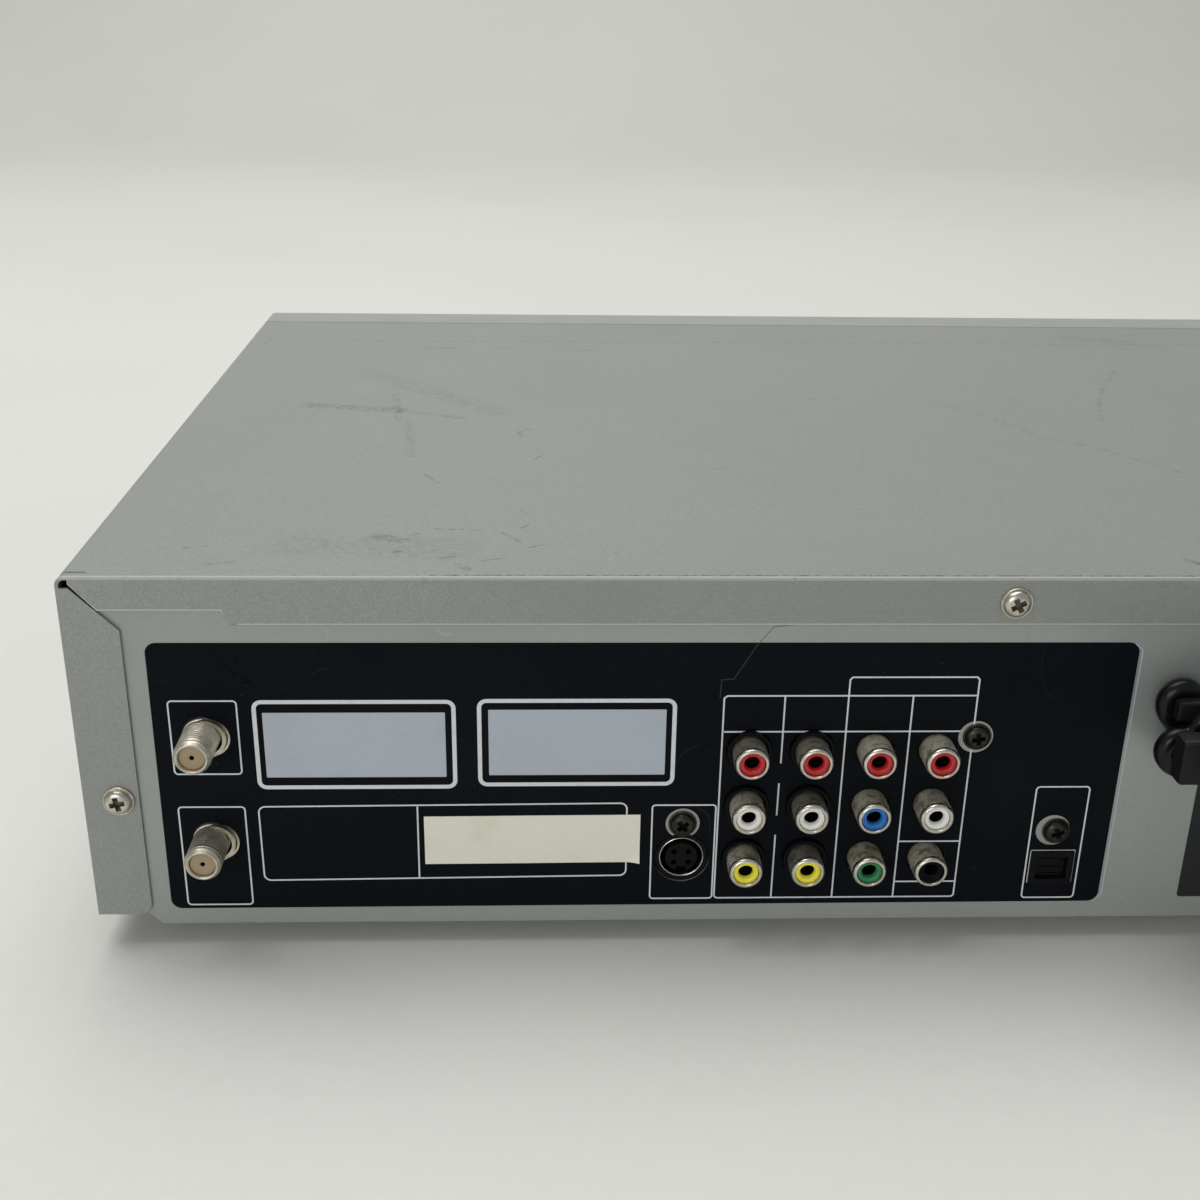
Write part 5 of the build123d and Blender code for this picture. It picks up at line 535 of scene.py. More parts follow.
BRASS = plated("brass_blade", (0.72, 0.56, 0.28), 0.3, (0.40, 0.28, 0.12), 0.4,
               stretch=(60.0, 900.0, 900.0))
SILVER_PLASTIC = plastic("silver_plastic", (0.30, 0.308, 0.297), 0.36, grain=2600.0, depth=0.006,
                         second=(0.275, 0.282, 0.271), coat=0.1)
KEY_PLASTIC = plastic("key_plastic", (0.46, 0.468, 0.456), 0.3, grain=2600.0, depth=0.004, coat=0.2)
SMOKED = plastic("smoked_window", (0.004, 0.004, 0.0055), 0.1, grain=300.0, depth=0.001, coat=0.1,
                 specular=0.3)
GHOST = plastic("unlit_segments", (0.022, 0.026, 0.025), 0.3, grain=500.0, depth=0.002)
RUBBER = plastic("rubber", (0.018, 0.018, 0.018), 0.75, grain=1500.0, depth=0.05)
BOARD = plastic("board_green", (0.03, 0.11, 0.05), 0.4, grain=600.0, depth=0.01, second=(0.02, 0.08, 0.035))
BOARD_TAN = plastic("board_tan", (0.33, 0.22, 0.09), 0.5, grain=600.0, depth=0.01)
TRAY_BLACK = plastic("tray_black", (0.022, 0.022, 0.024), 0.45)
NATURAL = plastic("natural_nylon", (0.70, 0.69, 0.63), 0.45)
GALVANISED = sheet_metal("galvanised_sheet", (0.58, 0.59, 0.58), 0.42)
GROUND_STEEL = sheet_metal("ground_steel", (0.60, 0.60, 0.60), 0.22, stretch=(900.0, 900.0, 60.0))
DRUM_ALLOY = sheet_metal("drum_alloy", (0.82, 0.82, 0.83), 0.12, stretch=(60.0, 60.0, 6000.0))

# Mesh helpers


def mesh_of(name, bm, sharp=38.0):
    """Close a bmesh into a mesh with smooth faces and sharp edges."""
    bmesh.ops.recalc_face_normals(bm, faces=bm.faces)
    mesh = bpy.data.meshes.new(name)
    bm.to_mesh(mesh)
    bm.free()
    mesh.shade_smooth()
    mesh.set_sharp_from_angle(angle=math.radians(sharp))
    return mesh


def add_piece(name, mesh, body, slot, *finishes):
    """Put a mesh in the scene as a piece that rides on a body."""
    piece = bpy.data.objects.new(name, mesh)
    bpy.context.scene.collection.objects.link(piece)
    for finish in finishes:
        mesh.materials.append(finish)
    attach(piece, body)
    return piece


def add_made(name, bm, body, slot, *finishes, sharp=38.0):
    """Close a bmesh and put it in the scene as a piece."""
    return add_piece(name, mesh_of(name, bm, sharp), body, slot, *finishes)


def bridge(bm, rings):
    """Faces between each ring of vertices and the next."""
    for first, second in zip(rings, rings[1:]):
        for i, corner in enumerate(first):
            j = (i + 1) % len(first)
            bm.faces.new([corner, first[j], second[j], second[i]])


def lathe(bm, profile, place, facing=1.0, steps=40, finishes=None):
    """Turn a profile of (radius, out) in mm about an axis along Y; facing -1 points to the front."""
    rings = []
    for radius, out in profile:
        centre = place + Vector((0, facing * out * MM, 0))
        if radius == 0:
            rings.append([bm.verts.new(centre)])
            continue
        ring = []
        for step in range(steps):
            angle = 2 * math.pi * step / steps
            ring.append(bm.verts.new(centre + Vector((math.cos(angle), 0, math.sin(angle))) * radius * MM))
        rings.append(ring)
    for number, (first, second) in enumerate(zip(rings, rings[1:])):
        for step in range(steps):
            after = (step + 1) % steps
            corners = [first[step % len(first)], first[after % len(first)],
                       second[after % len(second)], second[step % len(second)]]
            corners = list(dict.fromkeys(corners))
            if len(corners) > 2:
                face = bm.faces.new(corners)
                face.material_index = finishes[number] if finishes else 0


def rounded(corners, radius, steps=6):
    """Closed outline through the corners, each rounded."""
    points = []
    count = len(corners)
    for i, corner in enumerate(corners):
        here = Vector(corner)
        before = (Vector(corners[i - 1]) - here).normalized()
        after = (Vector(corners[(i + 1) % count]) - here).normalized()
        half = before.angle(after) / 2
        reach = radius / math.tan(half)
        centre = here + (before + after).normalized() * radius / math.sin(half)
        start = here + before * reach - centre
        end = here + after * reach - centre
        turn = start.angle_signed(end)
        for step in range(steps + 1):
            angle = -turn * step / steps
            points.append(centre + Vector((start.x * math.cos(angle) - start.y * math.sin(angle),
                                           start.x * math.sin(angle) + start.y * math.cos(angle))))
    return points


def arc(radius, start, end, steps=28):
    angles = [math.radians(start + (end - start) * i / steps) for i in range(steps + 1)]
    return [(radius * math.cos(angle), radius * math.sin(angle)) for angle in angles]


def disc(across, down, radius, steps=36):
    return [Vector((across + a, down + b)) for a, b in arc(radius, 0, 360, steps)[:-1]]


def rectangle(x0, y0, x1, y1):
    return [(x0, y0), (x1, y0), (x1, y1), (x0, y1)]


def inset(corners, amount):
    """The same outline moved in by an amount, for corners in order."""
    middle = sum((Vector(c) for c in corners), Vector((0, 0))) / len(corners)
    moved = []
    for corner in corners:
        away = Vector(corner) - middle
        side = Vector((math.copysign(1.0, away.x), math.copysign(1.0, away.y)))
        moved.append(Vector(corner) - side * amount)
    return moved


def cut_sheet(name, outlines, low, high, to_place=rear_point):
    """Mesh of a thin sheet with holes; outlines in mm, holes lie inside others."""
    curve = bpy.data.curves.new(name, "CURVE")
    curve.dimensions = "2D"
    curve.fill_mode = "BOTH"
    curve.extrude = 0.5
    for outline in outlines:
        spline = curve.splines.new("POLY")
        spline.points.add(len(outline) - 1)
        for point, corner in zip(spline.points, outline):
            point.co = (corner[0], corner[1], 0, 1)
        spline.use_cyclic_u = True
    holder = bpy.data.objects.new(name, curve)
    mesh = bpy.data.meshes.new_from_object(holder)
    bpy.data.objects.remove(holder)
    bpy.data.curves.remove(curve)
    for vertex in mesh.vertices:
        x, y, side = vertex.co
        vertex.co = to_place(x, y, high if side > 0 else low)
    bm = bmesh.new()
    bm.from_mesh(mesh)
    bmesh.ops.remove_doubles(bm, verts=bm.verts, dist=1e-7)
    bpy.data.meshes.remove(mesh)
    return mesh_of(name, bm)


def add_sheet(name, outlines, low, high, body, slot, finish, to_place=rear_point):
    add_piece(name, cut_sheet(name, outlines, low, high, to_place), body, slot, finish)


def add_joined(name, meshes, slot, finish):
    """One piece of the case from several meshes."""
    bm = bmesh.new()
    for mesh in meshes:
        bm.from_mesh(mesh)
        bpy.data.meshes.remove(mesh)
    add_made(name, bm, "case", slot, finish)


def box_strip(bm, start, end, width, low, high, to_place=rear_point):
    """A straight printed line as a thin flat bar."""
    a = Vector(start)
    b = Vector(end)
    along = (b - a).normalized()
    side = Vector((-along.y, along.x)) * width / 2
    corners = [a - side, b - side, b + side, a + side]
    lower = [bm.verts.new(to_place(c.x, c.y, low)) for c in corners]
    upper = [bm.verts.new(to_place(c.x, c.y, high)) for c in corners]
    bm.faces.new(upper)
    bm.faces.new(lower[::-1])
    bridge(bm, [lower, upper])


# Mains cord


CORD_RADIUS = 2.4 * MM
TURN_SHARE = math.tan(math.radians(22.5))
HANK_LEFT = -44.0
HANK_RIGHT = -113.0
HANK_LEVEL = 61.5
OUTER, INNER, FOLD = 10.1, 4.7, 15.5
FIRST_LAYER, LAYER_STEP = 5.8, 5.4
PLUG_OUT, PLUG_BACK, PLUG_RISE, PLUG_LENGTH = 33.6, HANK_LEFT - 8.0, -2.0, 38.0
LEAD_ROUTE = [(-192.0, 20.0, 71.6), (-192.0, 30.0, 71.1), (-187.0, 38.66, 69.6), (-178.34, 43.66, 68.2),
              (-161.86, 43.66, 67.8), (-124.0, 5.8, 70.9), (-108.0, 5.8, 71.6)]
UPPER_NOSE = [(-58.0, 10.1), (-48.5, 4.0), (-43.6, 4.4), (-43.0, 8.4), (-41.0, 10.8), (-38.0, 10.8),
              (-36.0, 8.4), (-36.3, 5.0), (-38.8, 1.8), (-41.6, -0.8), (-43.0, -5.0), (-46.0, -9.4),
              (-54.0, -10.1)]
LOWER_NOSE = [(-54.0, 10.1), (-46.5, 9.6), (-42.6, 5.6), (-41.0, 1.6), (-36.6, 1.2), (-34.6, -2.2),
              (-36.8, -6.4), (-42.5, -7.6), (-48.5, -10.6), (-57.0, -15.5)]
RELIEF_PLACE = Vector((-0.192, PANEL, 0.0716))


def hank_route():
    """Corner points of the hank from the lead to the plug; two loose folds stand out at its left end."""
    points = []
    first, second, third, fourth = [FIRST_LAYER + n * LAYER_STEP for n in range(4)]

    def turn(x, out, low, high, side):
        radius = abs(high - low) / 2
        near = radius * TURN_SHARE
        middle = HANK_LEVEL + (low + high) / 2
        rise = math.copysign(near, high - low)
        points.extend([(x - side * near, out, HANK_LEVEL + low), (x + side * near, out, HANK_LEVEL + low),
                       (x + side * radius, out, middle - rise), (x + side * radius, out, middle + rise),
                       (x + side * near, out, HANK_LEVEL + high), (x - side * near, out, HANK_LEVEL + high)])

    def left(pulled, out, low, high):
        turn(HANK_LEFT - pulled, out, low, high, 1)

    def right(out, low, high):
        turn(HANK_RIGHT, out, low, high, -1)

    def nose(out, corners):
        points.extend((x, out, HANK_LEVEL + z) for x, z in corners)

    nose(first, UPPER_NOSE)
    right(first, -OUTER, INNER)
    left(8.0, first, INNER, -INNER)
    right(second, -INNER, INNER)
    left(10.0, second, INNER, -OUTER)
    right(second, -OUTER, OUTER)
    nose(second, LOWER_NOSE)
    right(third, -FOLD, OUTER)
    left(9.0, third, OUTER, -OUTER)
    right(third, -OUTER, INNER)
    left(9.0, third, INNER, -INNER)
    right(fourth, -INNER, INNER)
    left(6.0, fourth, 3.2, -3.0)
    right(fourth, -OUTER, OUTER)
    left(0.0, PLUG_OUT, OUTER, PLUG_RISE)
    points.append((PLUG_BACK, PLUG_OUT, HANK_LEVEL + PLUG_RISE))
    return points


def make_mains_cord():
    """The black mains cord from its strain relief, through the tied hank, into the plug."""
    curve = bpy.data.curves.new("mains_cord", "CURVE")
    curve.dimensions = "3D"
    curve.bevel_depth = CORD_RADIUS
    curve.bevel_resolution = 4
    curve.resolution_u = 8
    curve.use_fill_caps = True
    route = LEAD_ROUTE + hank_route()
    spline = curve.splines.new("NURBS")
    spline.points.add(len(route) - 1)
    for point, (x, out, z) in zip(spline.points, route):
        point.co = (x * MM, PANEL + out * MM, z * MM, 1.0)
    spline.order_u = 3
    spline.use_endpoint_u = True
    curve.materials.append(CORD_BLACK)
    cord = bpy.data.objects.new("mains_cord", curve)
    bpy.context.scene.collection.objects.link(cord)
    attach(cord, "case")
    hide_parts("mains_lead", "mains_hank")
    return cord


def rounded_bar(bm, out, stations, steps=6):
    """Loft rounded rectangles along X, out of the panel by one distance.

    Stations hold x, the rise over the hank's level, the width along Y, the height along Z and the corner
    radius, in mm.
    """
    rings = []
    for x, rise, width, height, radius in stations:
        ring = []
        for p in rounded(rectangle(-width / 2, -height / 2, width / 2, height / 2), radius, steps):
            place = (x * MM, PANEL + (out + p.x) * MM, (HANK_LEVEL + rise + p.y) * MM)
            ring.append(bm.verts.new(place))
        rings.append(ring)
    bridge(bm, rings)
    bm.faces.new(rings[0])
    bm.faces.new(rings[-1])


def make_plug():
    """Moulded two-blade plug with a ribbed tail and plated blades."""
    sections = []
    for rib in range(5):
        along, grow = rib * 2.4, 5.2 + rib * 0.55
        for step, swell, fillet in ((0.0, 0.0, -0.05), (0.2, 0.9, 0.3), (1.3, 0.9, 0.3), (1.5, 0.0, -0.05)):
            sections.append((along + step, grow + swell, grow + swell, grow / 2 + fillet))
    sections += [(12.0, 9.0, 8.0, 2.6), (14.0, 14.4, 9.6, 2.6), (16.0, 16.2, 10.2, 2.6),
                 (19.0, 17.0, 10.5, 2.5), (24.0, 16.2, 9.7, 2.5), (30.0, 16.2, 9.7, 2.5),
                 (34.0, 17.0, 10.5, 2.5), (37.0, 17.0, 10.5, 2.5), (PLUG_LENGTH, 16.2, 9.7, 2.2)]
    bm = bmesh.new()
    rounded_bar(bm, PLUG_OUT, [(PLUG_BACK - along, PLUG_RISE, *size) for along, *size in sections])
    plug = add_made("mains_plug_moulding", bm, "case", "cord", PLUG_BLACK)
    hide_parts("mains_plug")
    blade = [(-1.0, 1.5, 6.3, 0.3), (14.6, 1.5, 6.3, 0.3), (15.6, 1.2, 5.3, 0.3), (16.0, 0.7, 4.3, 0.2)]
    face = PLUG_BACK - PLUG_LENGTH
    stations = [(face - along, PLUG_RISE, *size) for along, *size in blade]
    bm = bmesh.new()
    for side in (-1, 1):
        rounded_bar(bm, PLUG_OUT + side * 6.35, stations, 3)
    return [plug, add_made("mains_plug_blades", bm, "case", "cord", BRASS)]


def make_tie():
    """Flat band that holds the hank together."""
    bm = bmesh.new()
    x, half = -95.0, 2.2
    out, level = FIRST_LAYER + 1.5 * LAYER_STEP + 0.3, HANK_LEVEL - 2.7
    outer = rounded(rectangle(-11.9, -16.3, 11.9, 16.3), 4.0, 8)
    inner = rounded(rectangle(-11.2, -15.6, 11.2, 15.6), 3.3, 8)
    rings = []
    for outline, along in ((inner, -half), (outer, -half), (outer, half), (inner, half)):
        rings.append([bm.verts.new(((x + along) * MM, PANEL + (out + p.x) * MM, (level + p.y) * MM))
                      for p in outline])
    bridge(bm, rings + rings[:1])
    return add_made("cord_tie", bm, "case", "cord", PLUG_BLACK)


def make_keeper():
    """Moulded keeper over the ends of the front turns, and the small tag beside it."""
    bm = bmesh.new()
    rounded_bar(bm, 21.7, [(-33.5, 1.2, 4.8, 10.2, 0.6), (-34.1, 1.2, 5.6, 11.0, 0.9),
                           (-51.4, 1.2, 5.6, 11.0, 0.9), (-52.0, 1.2, 4.8, 10.2, 0.6)])
    rounded_bar(bm, 9.9, [(-36.9, 7.2, 2.6, 3.8, 0.5), (-37.3, 7.2, 3.2, 4.6, 0.7),
                          (-42.0, 7.4, 3.2, 5.0, 0.7), (-42.4, 7.4, 2.6, 4.2, 0.5)])
    return add_made("cord_keeper", bm, "case", "cord", PLUG_BLACK)


def make_relief():
    """Ribbed, tapered strain relief snapped into the rear panel."""
    profile = [(0, -8.8), (5.0, -8.8), (6.4, -0.8), (5.0, -0.8), (5.0, 0.0), (7.0, 0.0), (7.0, 1.6),
               (6.6, 2.0)]
    root, tip, reach = 5.6, 3.8, 20.0
    for rib in range(6):
        start = 2.4 + rib * 2.9
        size = root + (tip - root) * (start - 2.0) / (reach - 2.0)
        profile += [(size - 0.9, start), (size - 0.9, start + 0.9), (size, start + 1.1),
                    (size - 0.15, start + 2.7)]
    profile += [(tip - 0.4, 19.8), (tip - 0.8, reach), (2.8, reach)]
    bm = bmesh.new()
    lathe(bm, profile, RELIEF_PLACE, steps=32)
    relief = add_made("ribbed_relief", bm, "case", "cord", PLUG_BLACK)
    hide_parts("strain_relief")
    return relief


CORD = make_mains_cord()
PLUG = make_plug()
TIE = make_tie()
KEEPER = make_keeper()
RELIEF = make_relief()

# Rear print


JACK_COLUMNS = [156.25 + 14.89 * i for i in range(4)]
JACK_ROWS = [44.07 + 14.74 * i for i in range(3)]
AERIALS = [(28.97, 39.5), (28.97, 67.4)]
# Shift of the hole round each aerial, for the print's hole and the ring of painted shade.
AERIAL_HOLE_SHIFT = 1.0
DARK_SCREWS = [(210.0, 40.6), (232.3, 66.4), (141.2, 63.9)]
SVIDEO = (141.2, 73.5)
OPTICAL = (232.3, 76.7)
PRINT_LOW, PRINT_HIGH = -0.02, 0.05
OVER_PRINT = (PRINT_HIGH - 0.03, PRINT_HIGH + 0.03)


def make_black_print():
    """The black printed area with its clear places for the connectors."""
    field = rounded([(17.87, 16.29), (245.53, 16.32), (245.27, 86.73), (17.54, 87.06)], 2.6, 8)
    holes = [disc(across - AERIAL_HOLE_SHIFT, down, 7.3) for across, down in AERIALS]
    for across, size in zip(JACK_COLUMNS, (5.55, 5.55, 4.85, 4.85)):
        holes += [disc(across, down, size) for down in JACK_ROWS]
    holes.append(disc(*SVIDEO, 6.75, 60))
    across, down = OPTICAL
    holes.append(rounded(rectangle(across - 5.45, down - 4.75, across + 5.45, down + 4.75), 0.4, 3))
    add_sheet("black_print", [field] + holes, PRINT_LOW, PRINT_HIGH, "case", "panel", BLACK_PRINT)


def ring_outline(corners, radius, width):
    """Outer and inner outline of a printed frame."""
    return [rounded(inset(corners, -width / 2), radius + width / 2),
            rounded(inset(corners, width / 2), max(radius - width / 2, 0.15))]


def make_print_lines():
    """Light printed frames and table lines over the black area."""
    thin = 0.38
    frames = []
    for corners, radius, width in (
            (rectangle(21.7, 30.9, 37.3, 49.95), 0.9, thin), (rectangle(21.6, 58.8, 37.2, 86.0), 0.9, thin),
            (rectangle(41.2, 31.2, 87.0, 53.55), 1.7, 1.0), (rectangle(92.9, 31.0, 138.3, 53.0), 1.7, 1.0),
            ([(40.4, 58.8), (127.7, 58.25), (127.8, 78.4), (40.5, 79.2)], 1.6, thin),
            (rectangle(133.8, 58.85, 149.05, 85.15), 0.8, thin),
            (rectangle(226.1, 54.3, 239.05, 85.6), 0.9, thin)):
        frames += ring_outline(corners, radius, width)
    rings = cut_sheet("print_frames", frames, *OVER_PRINT)
    bm = bmesh.new()
    lines = [((77.85, 58.9), (77.75, 78.7)), ((150.4, 29.85), (178.6, 29.85)), ((179.3, 25.1), (208.5, 25.1)),
             ((150.0, 39.2), (209.0, 39.2)), ((149.7, 30.4), (149.6, 84.6)), ((178.75, 25.6), (178.75, 85.1)),
             ((193.9, 29.9), (193.9, 85.1)), ((209.0, 25.7), (209.0, 84.6)), ((150.2, 85.1), (208.5, 85.1)),
             ((194.0, 69.25), (208.9, 69.25)), ((194.0, 80.7), (208.9, 80.7)),
             ((178.9, 29.85), (208.9, 29.85)),
             ((163.9, 30.0), (163.9, 47.6)), ((163.8, 53.0), (163.75, 61.8)), ((163.75, 67.2), (163.7, 85.0)),
             ((149.6, 30.5), (150.5, 29.8)), ((178.7, 25.8), (179.4, 25.0)), ((208.4, 25.05), (209.05, 25.8)),
             ((149.55, 84.5), (150.3, 85.15)), ((208.4, 85.15), (209.05, 84.5)),
             ((227.0, 72.1), (237.75, 72.1)), ((227.0, 72.1), (227.0, 81.2)),
             ((237.75, 72.1), (237.75, 81.2))]
    for number, (start, end) in enumerate(lines):
        box_strip(bm, start, end, thin, OVER_PRINT[0], OVER_PRINT[1] + 0.002 * number)
    add_joined("print_lines", [rings, mesh_of("print_strips", bm)], "panel", LIGHT_PRINT)


def make_print_edge():
    """Thin light outline along the right edge of the black area, a painted highlight on its raised edge."""
    outer = [(244.4, 16.7), (246.3, 18.2), (246.1, 85.0), (244.2, 86.9)]
    bm = bmesh.new()
    for number, (start, end) in enumerate(zip(outer, outer[1:])):
        box_strip(bm, start, end, 0.3, PRINT_LOW, PRINT_HIGH + 0.005 + number * 0.002)
    add_made("print_edge", bm, "case", "panel", PLATE_PRINT)


def make_plates():
    """Two bare pale plates in their frames."""
    meshes = []
    for corners in (rectangle(43.0, 33.95, 85.0, 50.9), rectangle(95.0, 33.3, 136.4, 50.5)):
        meshes.append(cut_sheet("plate", [rounded(corners, 0.2, 2)], *OVER_PRINT))
    add_joined("bare_plates", meshes, "panel", PLATE_PRINT)


def make_sticker():
    """Bare paper sticker with a slightly lifted corner."""
    bm = bmesh.new()
    across, down = 40, 12
    left, top, width, height = 79.3, 61.5, 51.7, 13.2
    base, paper, curl, wave, slope = 0.11, 0.09, 0.9, 0.02, -0.25
    grid = []
    for level in (base, base + paper):
        rows = []
        for j in range(down + 1):
            row = []
            for i in range(across + 1):
                s, t = i / across, j / down
                lift = curl * max(0.0, (s - 0.93) / 0.07) ** 2 * max(0.0, (t - 0.6) / 0.4) ** 2
                lift += wave * math.sin(9 * s + 4 * t)
                place = rear_point(left + width * s, top + height * t + slope * (s - 0.5), level + lift)
                row.append(bm.verts.new(place))
            rows.append(row)
        grid.append(rows)
    for rows in grid:
        for j in range(down):
            for i in range(across):
                bm.faces.new([rows[j][i], rows[j][i + 1], rows[j + 1][i + 1], rows[j + 1][i]])
    border = [(j, 0) for j in range(down + 1)] + [(down, i) for i in range(1, across + 1)]
    border += [(j, across) for j in range(down - 1, -1, -1)] + [(0, i) for i in range(across - 1, 0, -1)]
    for (j, i), (n, m) in zip(border, border[1:] + border[:1]):
        bm.faces.new([grid[0][j][i], grid[0][n][m], grid[1][n][m], grid[1][j][i]])
    add_made("bare_sticker", bm, "case", "panel", LABEL)


def make_charcoal_plate():
    outline = rounded(rectangle(265.2, 53.5, 345.0, 85.6), 0.8, 4)
    add_sheet("charcoal_plate", [outline], 0.0, 0.12, "case", "panel", CHARCOAL)


make_black_print()
make_print_lines()
make_print_edge()
make_plates()
make_sticker()
make_charcoal_plate()


def make_optical_ribs():
    """Raised ribs on the shutter of the optical socket."""
    bm = bmesh.new()
    a, d = OPTICAL
    for start, end in (((-2.3, -2.0), (2.9, -2.0)), ((2.7, -2.1), (2.7, 2.3)), ((-2.1, 2.2), (2.9, 2.2)),
                       ((-2.9, 0.45), (2.0, 0.45))):
        box_strip(bm, (a + start[0], d + start[1]), (a + end[0], d + end[1]), 0.5, -0.45, -0.12)
    add_made("shutter_ribs", bm, "shutter", "black_plastic", BLACK)


make_optical_ribs()

# Phono jacks


SLEEVE = [(4.1, -0.8), (4.1, 5.75), (4.08, 5.95), (4.02, 6.3), (3.88, 6.62), (3.66, 6.86), (3.42, 6.95),
          (3.24, 6.93), (3.12, 6.8), (3.06, 6.5), (3.06, 2.0)]
INSERT = [(2.98, 0.5), (2.98, 6.1), (2.9, 6.24), (2.62, 6.28), (2.58, 6.1), (2.48, 6.1), (2.44, 6.32),
          (2.25, 6.36), (2.0, 6.18), (1.74, 5.5), (1.7, 4.9), (1.66, 1.2), (0, 1.0)]
# The last two segments, the hole's bore and bottom, take black: painted shade inside the hole.
INSERT_FINISH = [0] * 10 + [1] * 2
JACK_COLOURS = [[RED, RED, RED, RED], [WHITE, WHITE, BLUE, WHITE], [YELLOW, YELLOW, GREEN, BLACK]]
POLISHED = {(0, 0), (0, 1), (1, 1), (2, 1)}
JACK_DROP = 0.4
FRONT_JACKS = [(-164.0, YELLOW), (-149.0, WHITE), (-134.0, RED)]
FRONT_JACK_LEVEL, FRONT_JACK_BASE = 24.0, 6.93


def all_jacks():
    """Every jack: its place, the way it faces, its colour and the finish number of its sleeve's side."""
    jacks = []
    for row, down in enumerate(JACK_ROWS):
        for column, across in enumerate(JACK_COLUMNS):
            # Polished sleeves take the darker nickel, with its painted reflection.
            side = 2 if (row, column) in POLISHED else 0
            jacks.append((rear_point(across, down + JACK_DROP), 1.0, JACK_COLOURS[row][column], side))
    for x, colour in FRONT_JACKS:
        place = Vector((x * MM, FRONT + FRONT_JACK_BASE * MM, FRONT_JACK_LEVEL * MM))
        jacks.append((place, -1.0, colour, 0))
    return jacks


def make_jack_sleeves():
    """Plated sleeves of all phono jacks and the shield ring of the S-video socket."""
    bm = bmesh.new()
    for place, facing, _, side in all_jacks():
        lathe(bm, SLEEVE, place, facing, 44, [side] + [1] * 9)
    ring = [(5.08, -1.2), (5.08, -0.35), (5.18, -0.18), (5.28, -0.14), (5.38, -0.2), (5.38, -0.45)]
    lathe(bm, ring, rear_point(*SVIDEO), steps=60, finishes=[1] * 5)
    piece = add_made("jack_sleeves", bm, "case", "nickel", DULL_NICKEL, BRIGHT_NICKEL, DARK_NICKEL)
    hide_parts("jack_shells")


def make_jack_inserts():
    """Coloured insulators inside the sleeves, each hole's bore and bottom painted black as shade."""
    nodes = {RED: "red", WHITE: "white", YELLOW: "yellow", BLUE: "blue", GREEN: "green"}
    for finish, word in nodes.items():
        bm = bmesh.new()
        for place, facing, colour, _ in all_jacks():
            if colour == finish:
                lathe(bm, INSERT, place, facing, 40, INSERT_FINISH)
        piece = add_made(word + "_insulators", bm, "case", word, finish, BLACK)
        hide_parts(word + "_jack_inserts")
    bm = bmesh.new()
    lathe(bm, INSERT, rear_point(JACK_COLUMNS[3], JACK_ROWS[2] + JACK_DROP, 0.02), steps=40)
    add_made("black_insulator", bm, "case", "black_plastic", BLACK)


make_jack_sleeves()
make_jack_inserts()

# Aerial connectors


THREAD_PITCH, THREAD_RUN_OUT = 0.9, 0.6
THREAD_START, THREAD_END, BARREL = 2.1, 10.3, 4.3
THREAD_DEPTHS = (0.42, 0.1)
CLIP_SWEEP = (295.0, 320.0)


def thread_rings(bm, place, start, end, radius, depth, steps=48, per_turn=8):
    """Barrel with a helical thread between two smooth rings; a deep groove takes the second finish, a darker
    colour painted as shade in the groove.
    """
    count = int((end - start) / THREAD_PITCH * per_turn)
    rings = []
    for k in range(count + 1):
        out = start + (end - start) * k / count
        fade = min(1.0, (out - start) / THREAD_RUN_OUT, (end - out) / THREAD_RUN_OUT)
        ring = []
        for step in range(steps):
            turn = step / steps
            phase = (out / THREAD_PITCH - turn) % 1.0
            groove = 0.5 + 0.5 * math.cos(2 * math.pi * phase)
            size = radius - depth * fade * groove
            angle = 2 * math.pi * turn
            way = Vector((math.cos(angle) * size, out, math.sin(angle) * size))
            ring.append(bm.verts.new(place + way * MM))
        rings.append(ring)
    for first, second in zip(rings, rings[1:]):
        for step in range(steps):
            after = (step + 1) % steps
            face = bm.faces.new([first[step], first[after], second[after], second[step]])
            middle = (first[step].co + second[after].co) * 0.5 - place
            low = math.hypot(middle.x, middle.z) < (radius - depth * 0.6) * MM
            face.material_index = int(low and depth > 0.3)


def split_ring(bm, place, inner, outer, low, high, start, sweep, steps=36):
    """A ring with a gap, about an axis along Y; the start and the sweep in degrees."""
    loops = []
    for step in range(steps + 1):
        angle = math.radians(start + sweep * step / steps)
        way = Vector((math.cos(angle), 0, math.sin(angle)))
        loops.append([bm.verts.new(place + (way * radius + Vector((0, out, 0))) * MM)
                      for radius, out in ((inner, low), (outer, low), (outer, high), (inner, high))])
    bridge(bm, loops)
    bm.faces.new(loops[0])
    bm.faces.new(loops[-1][::-1])


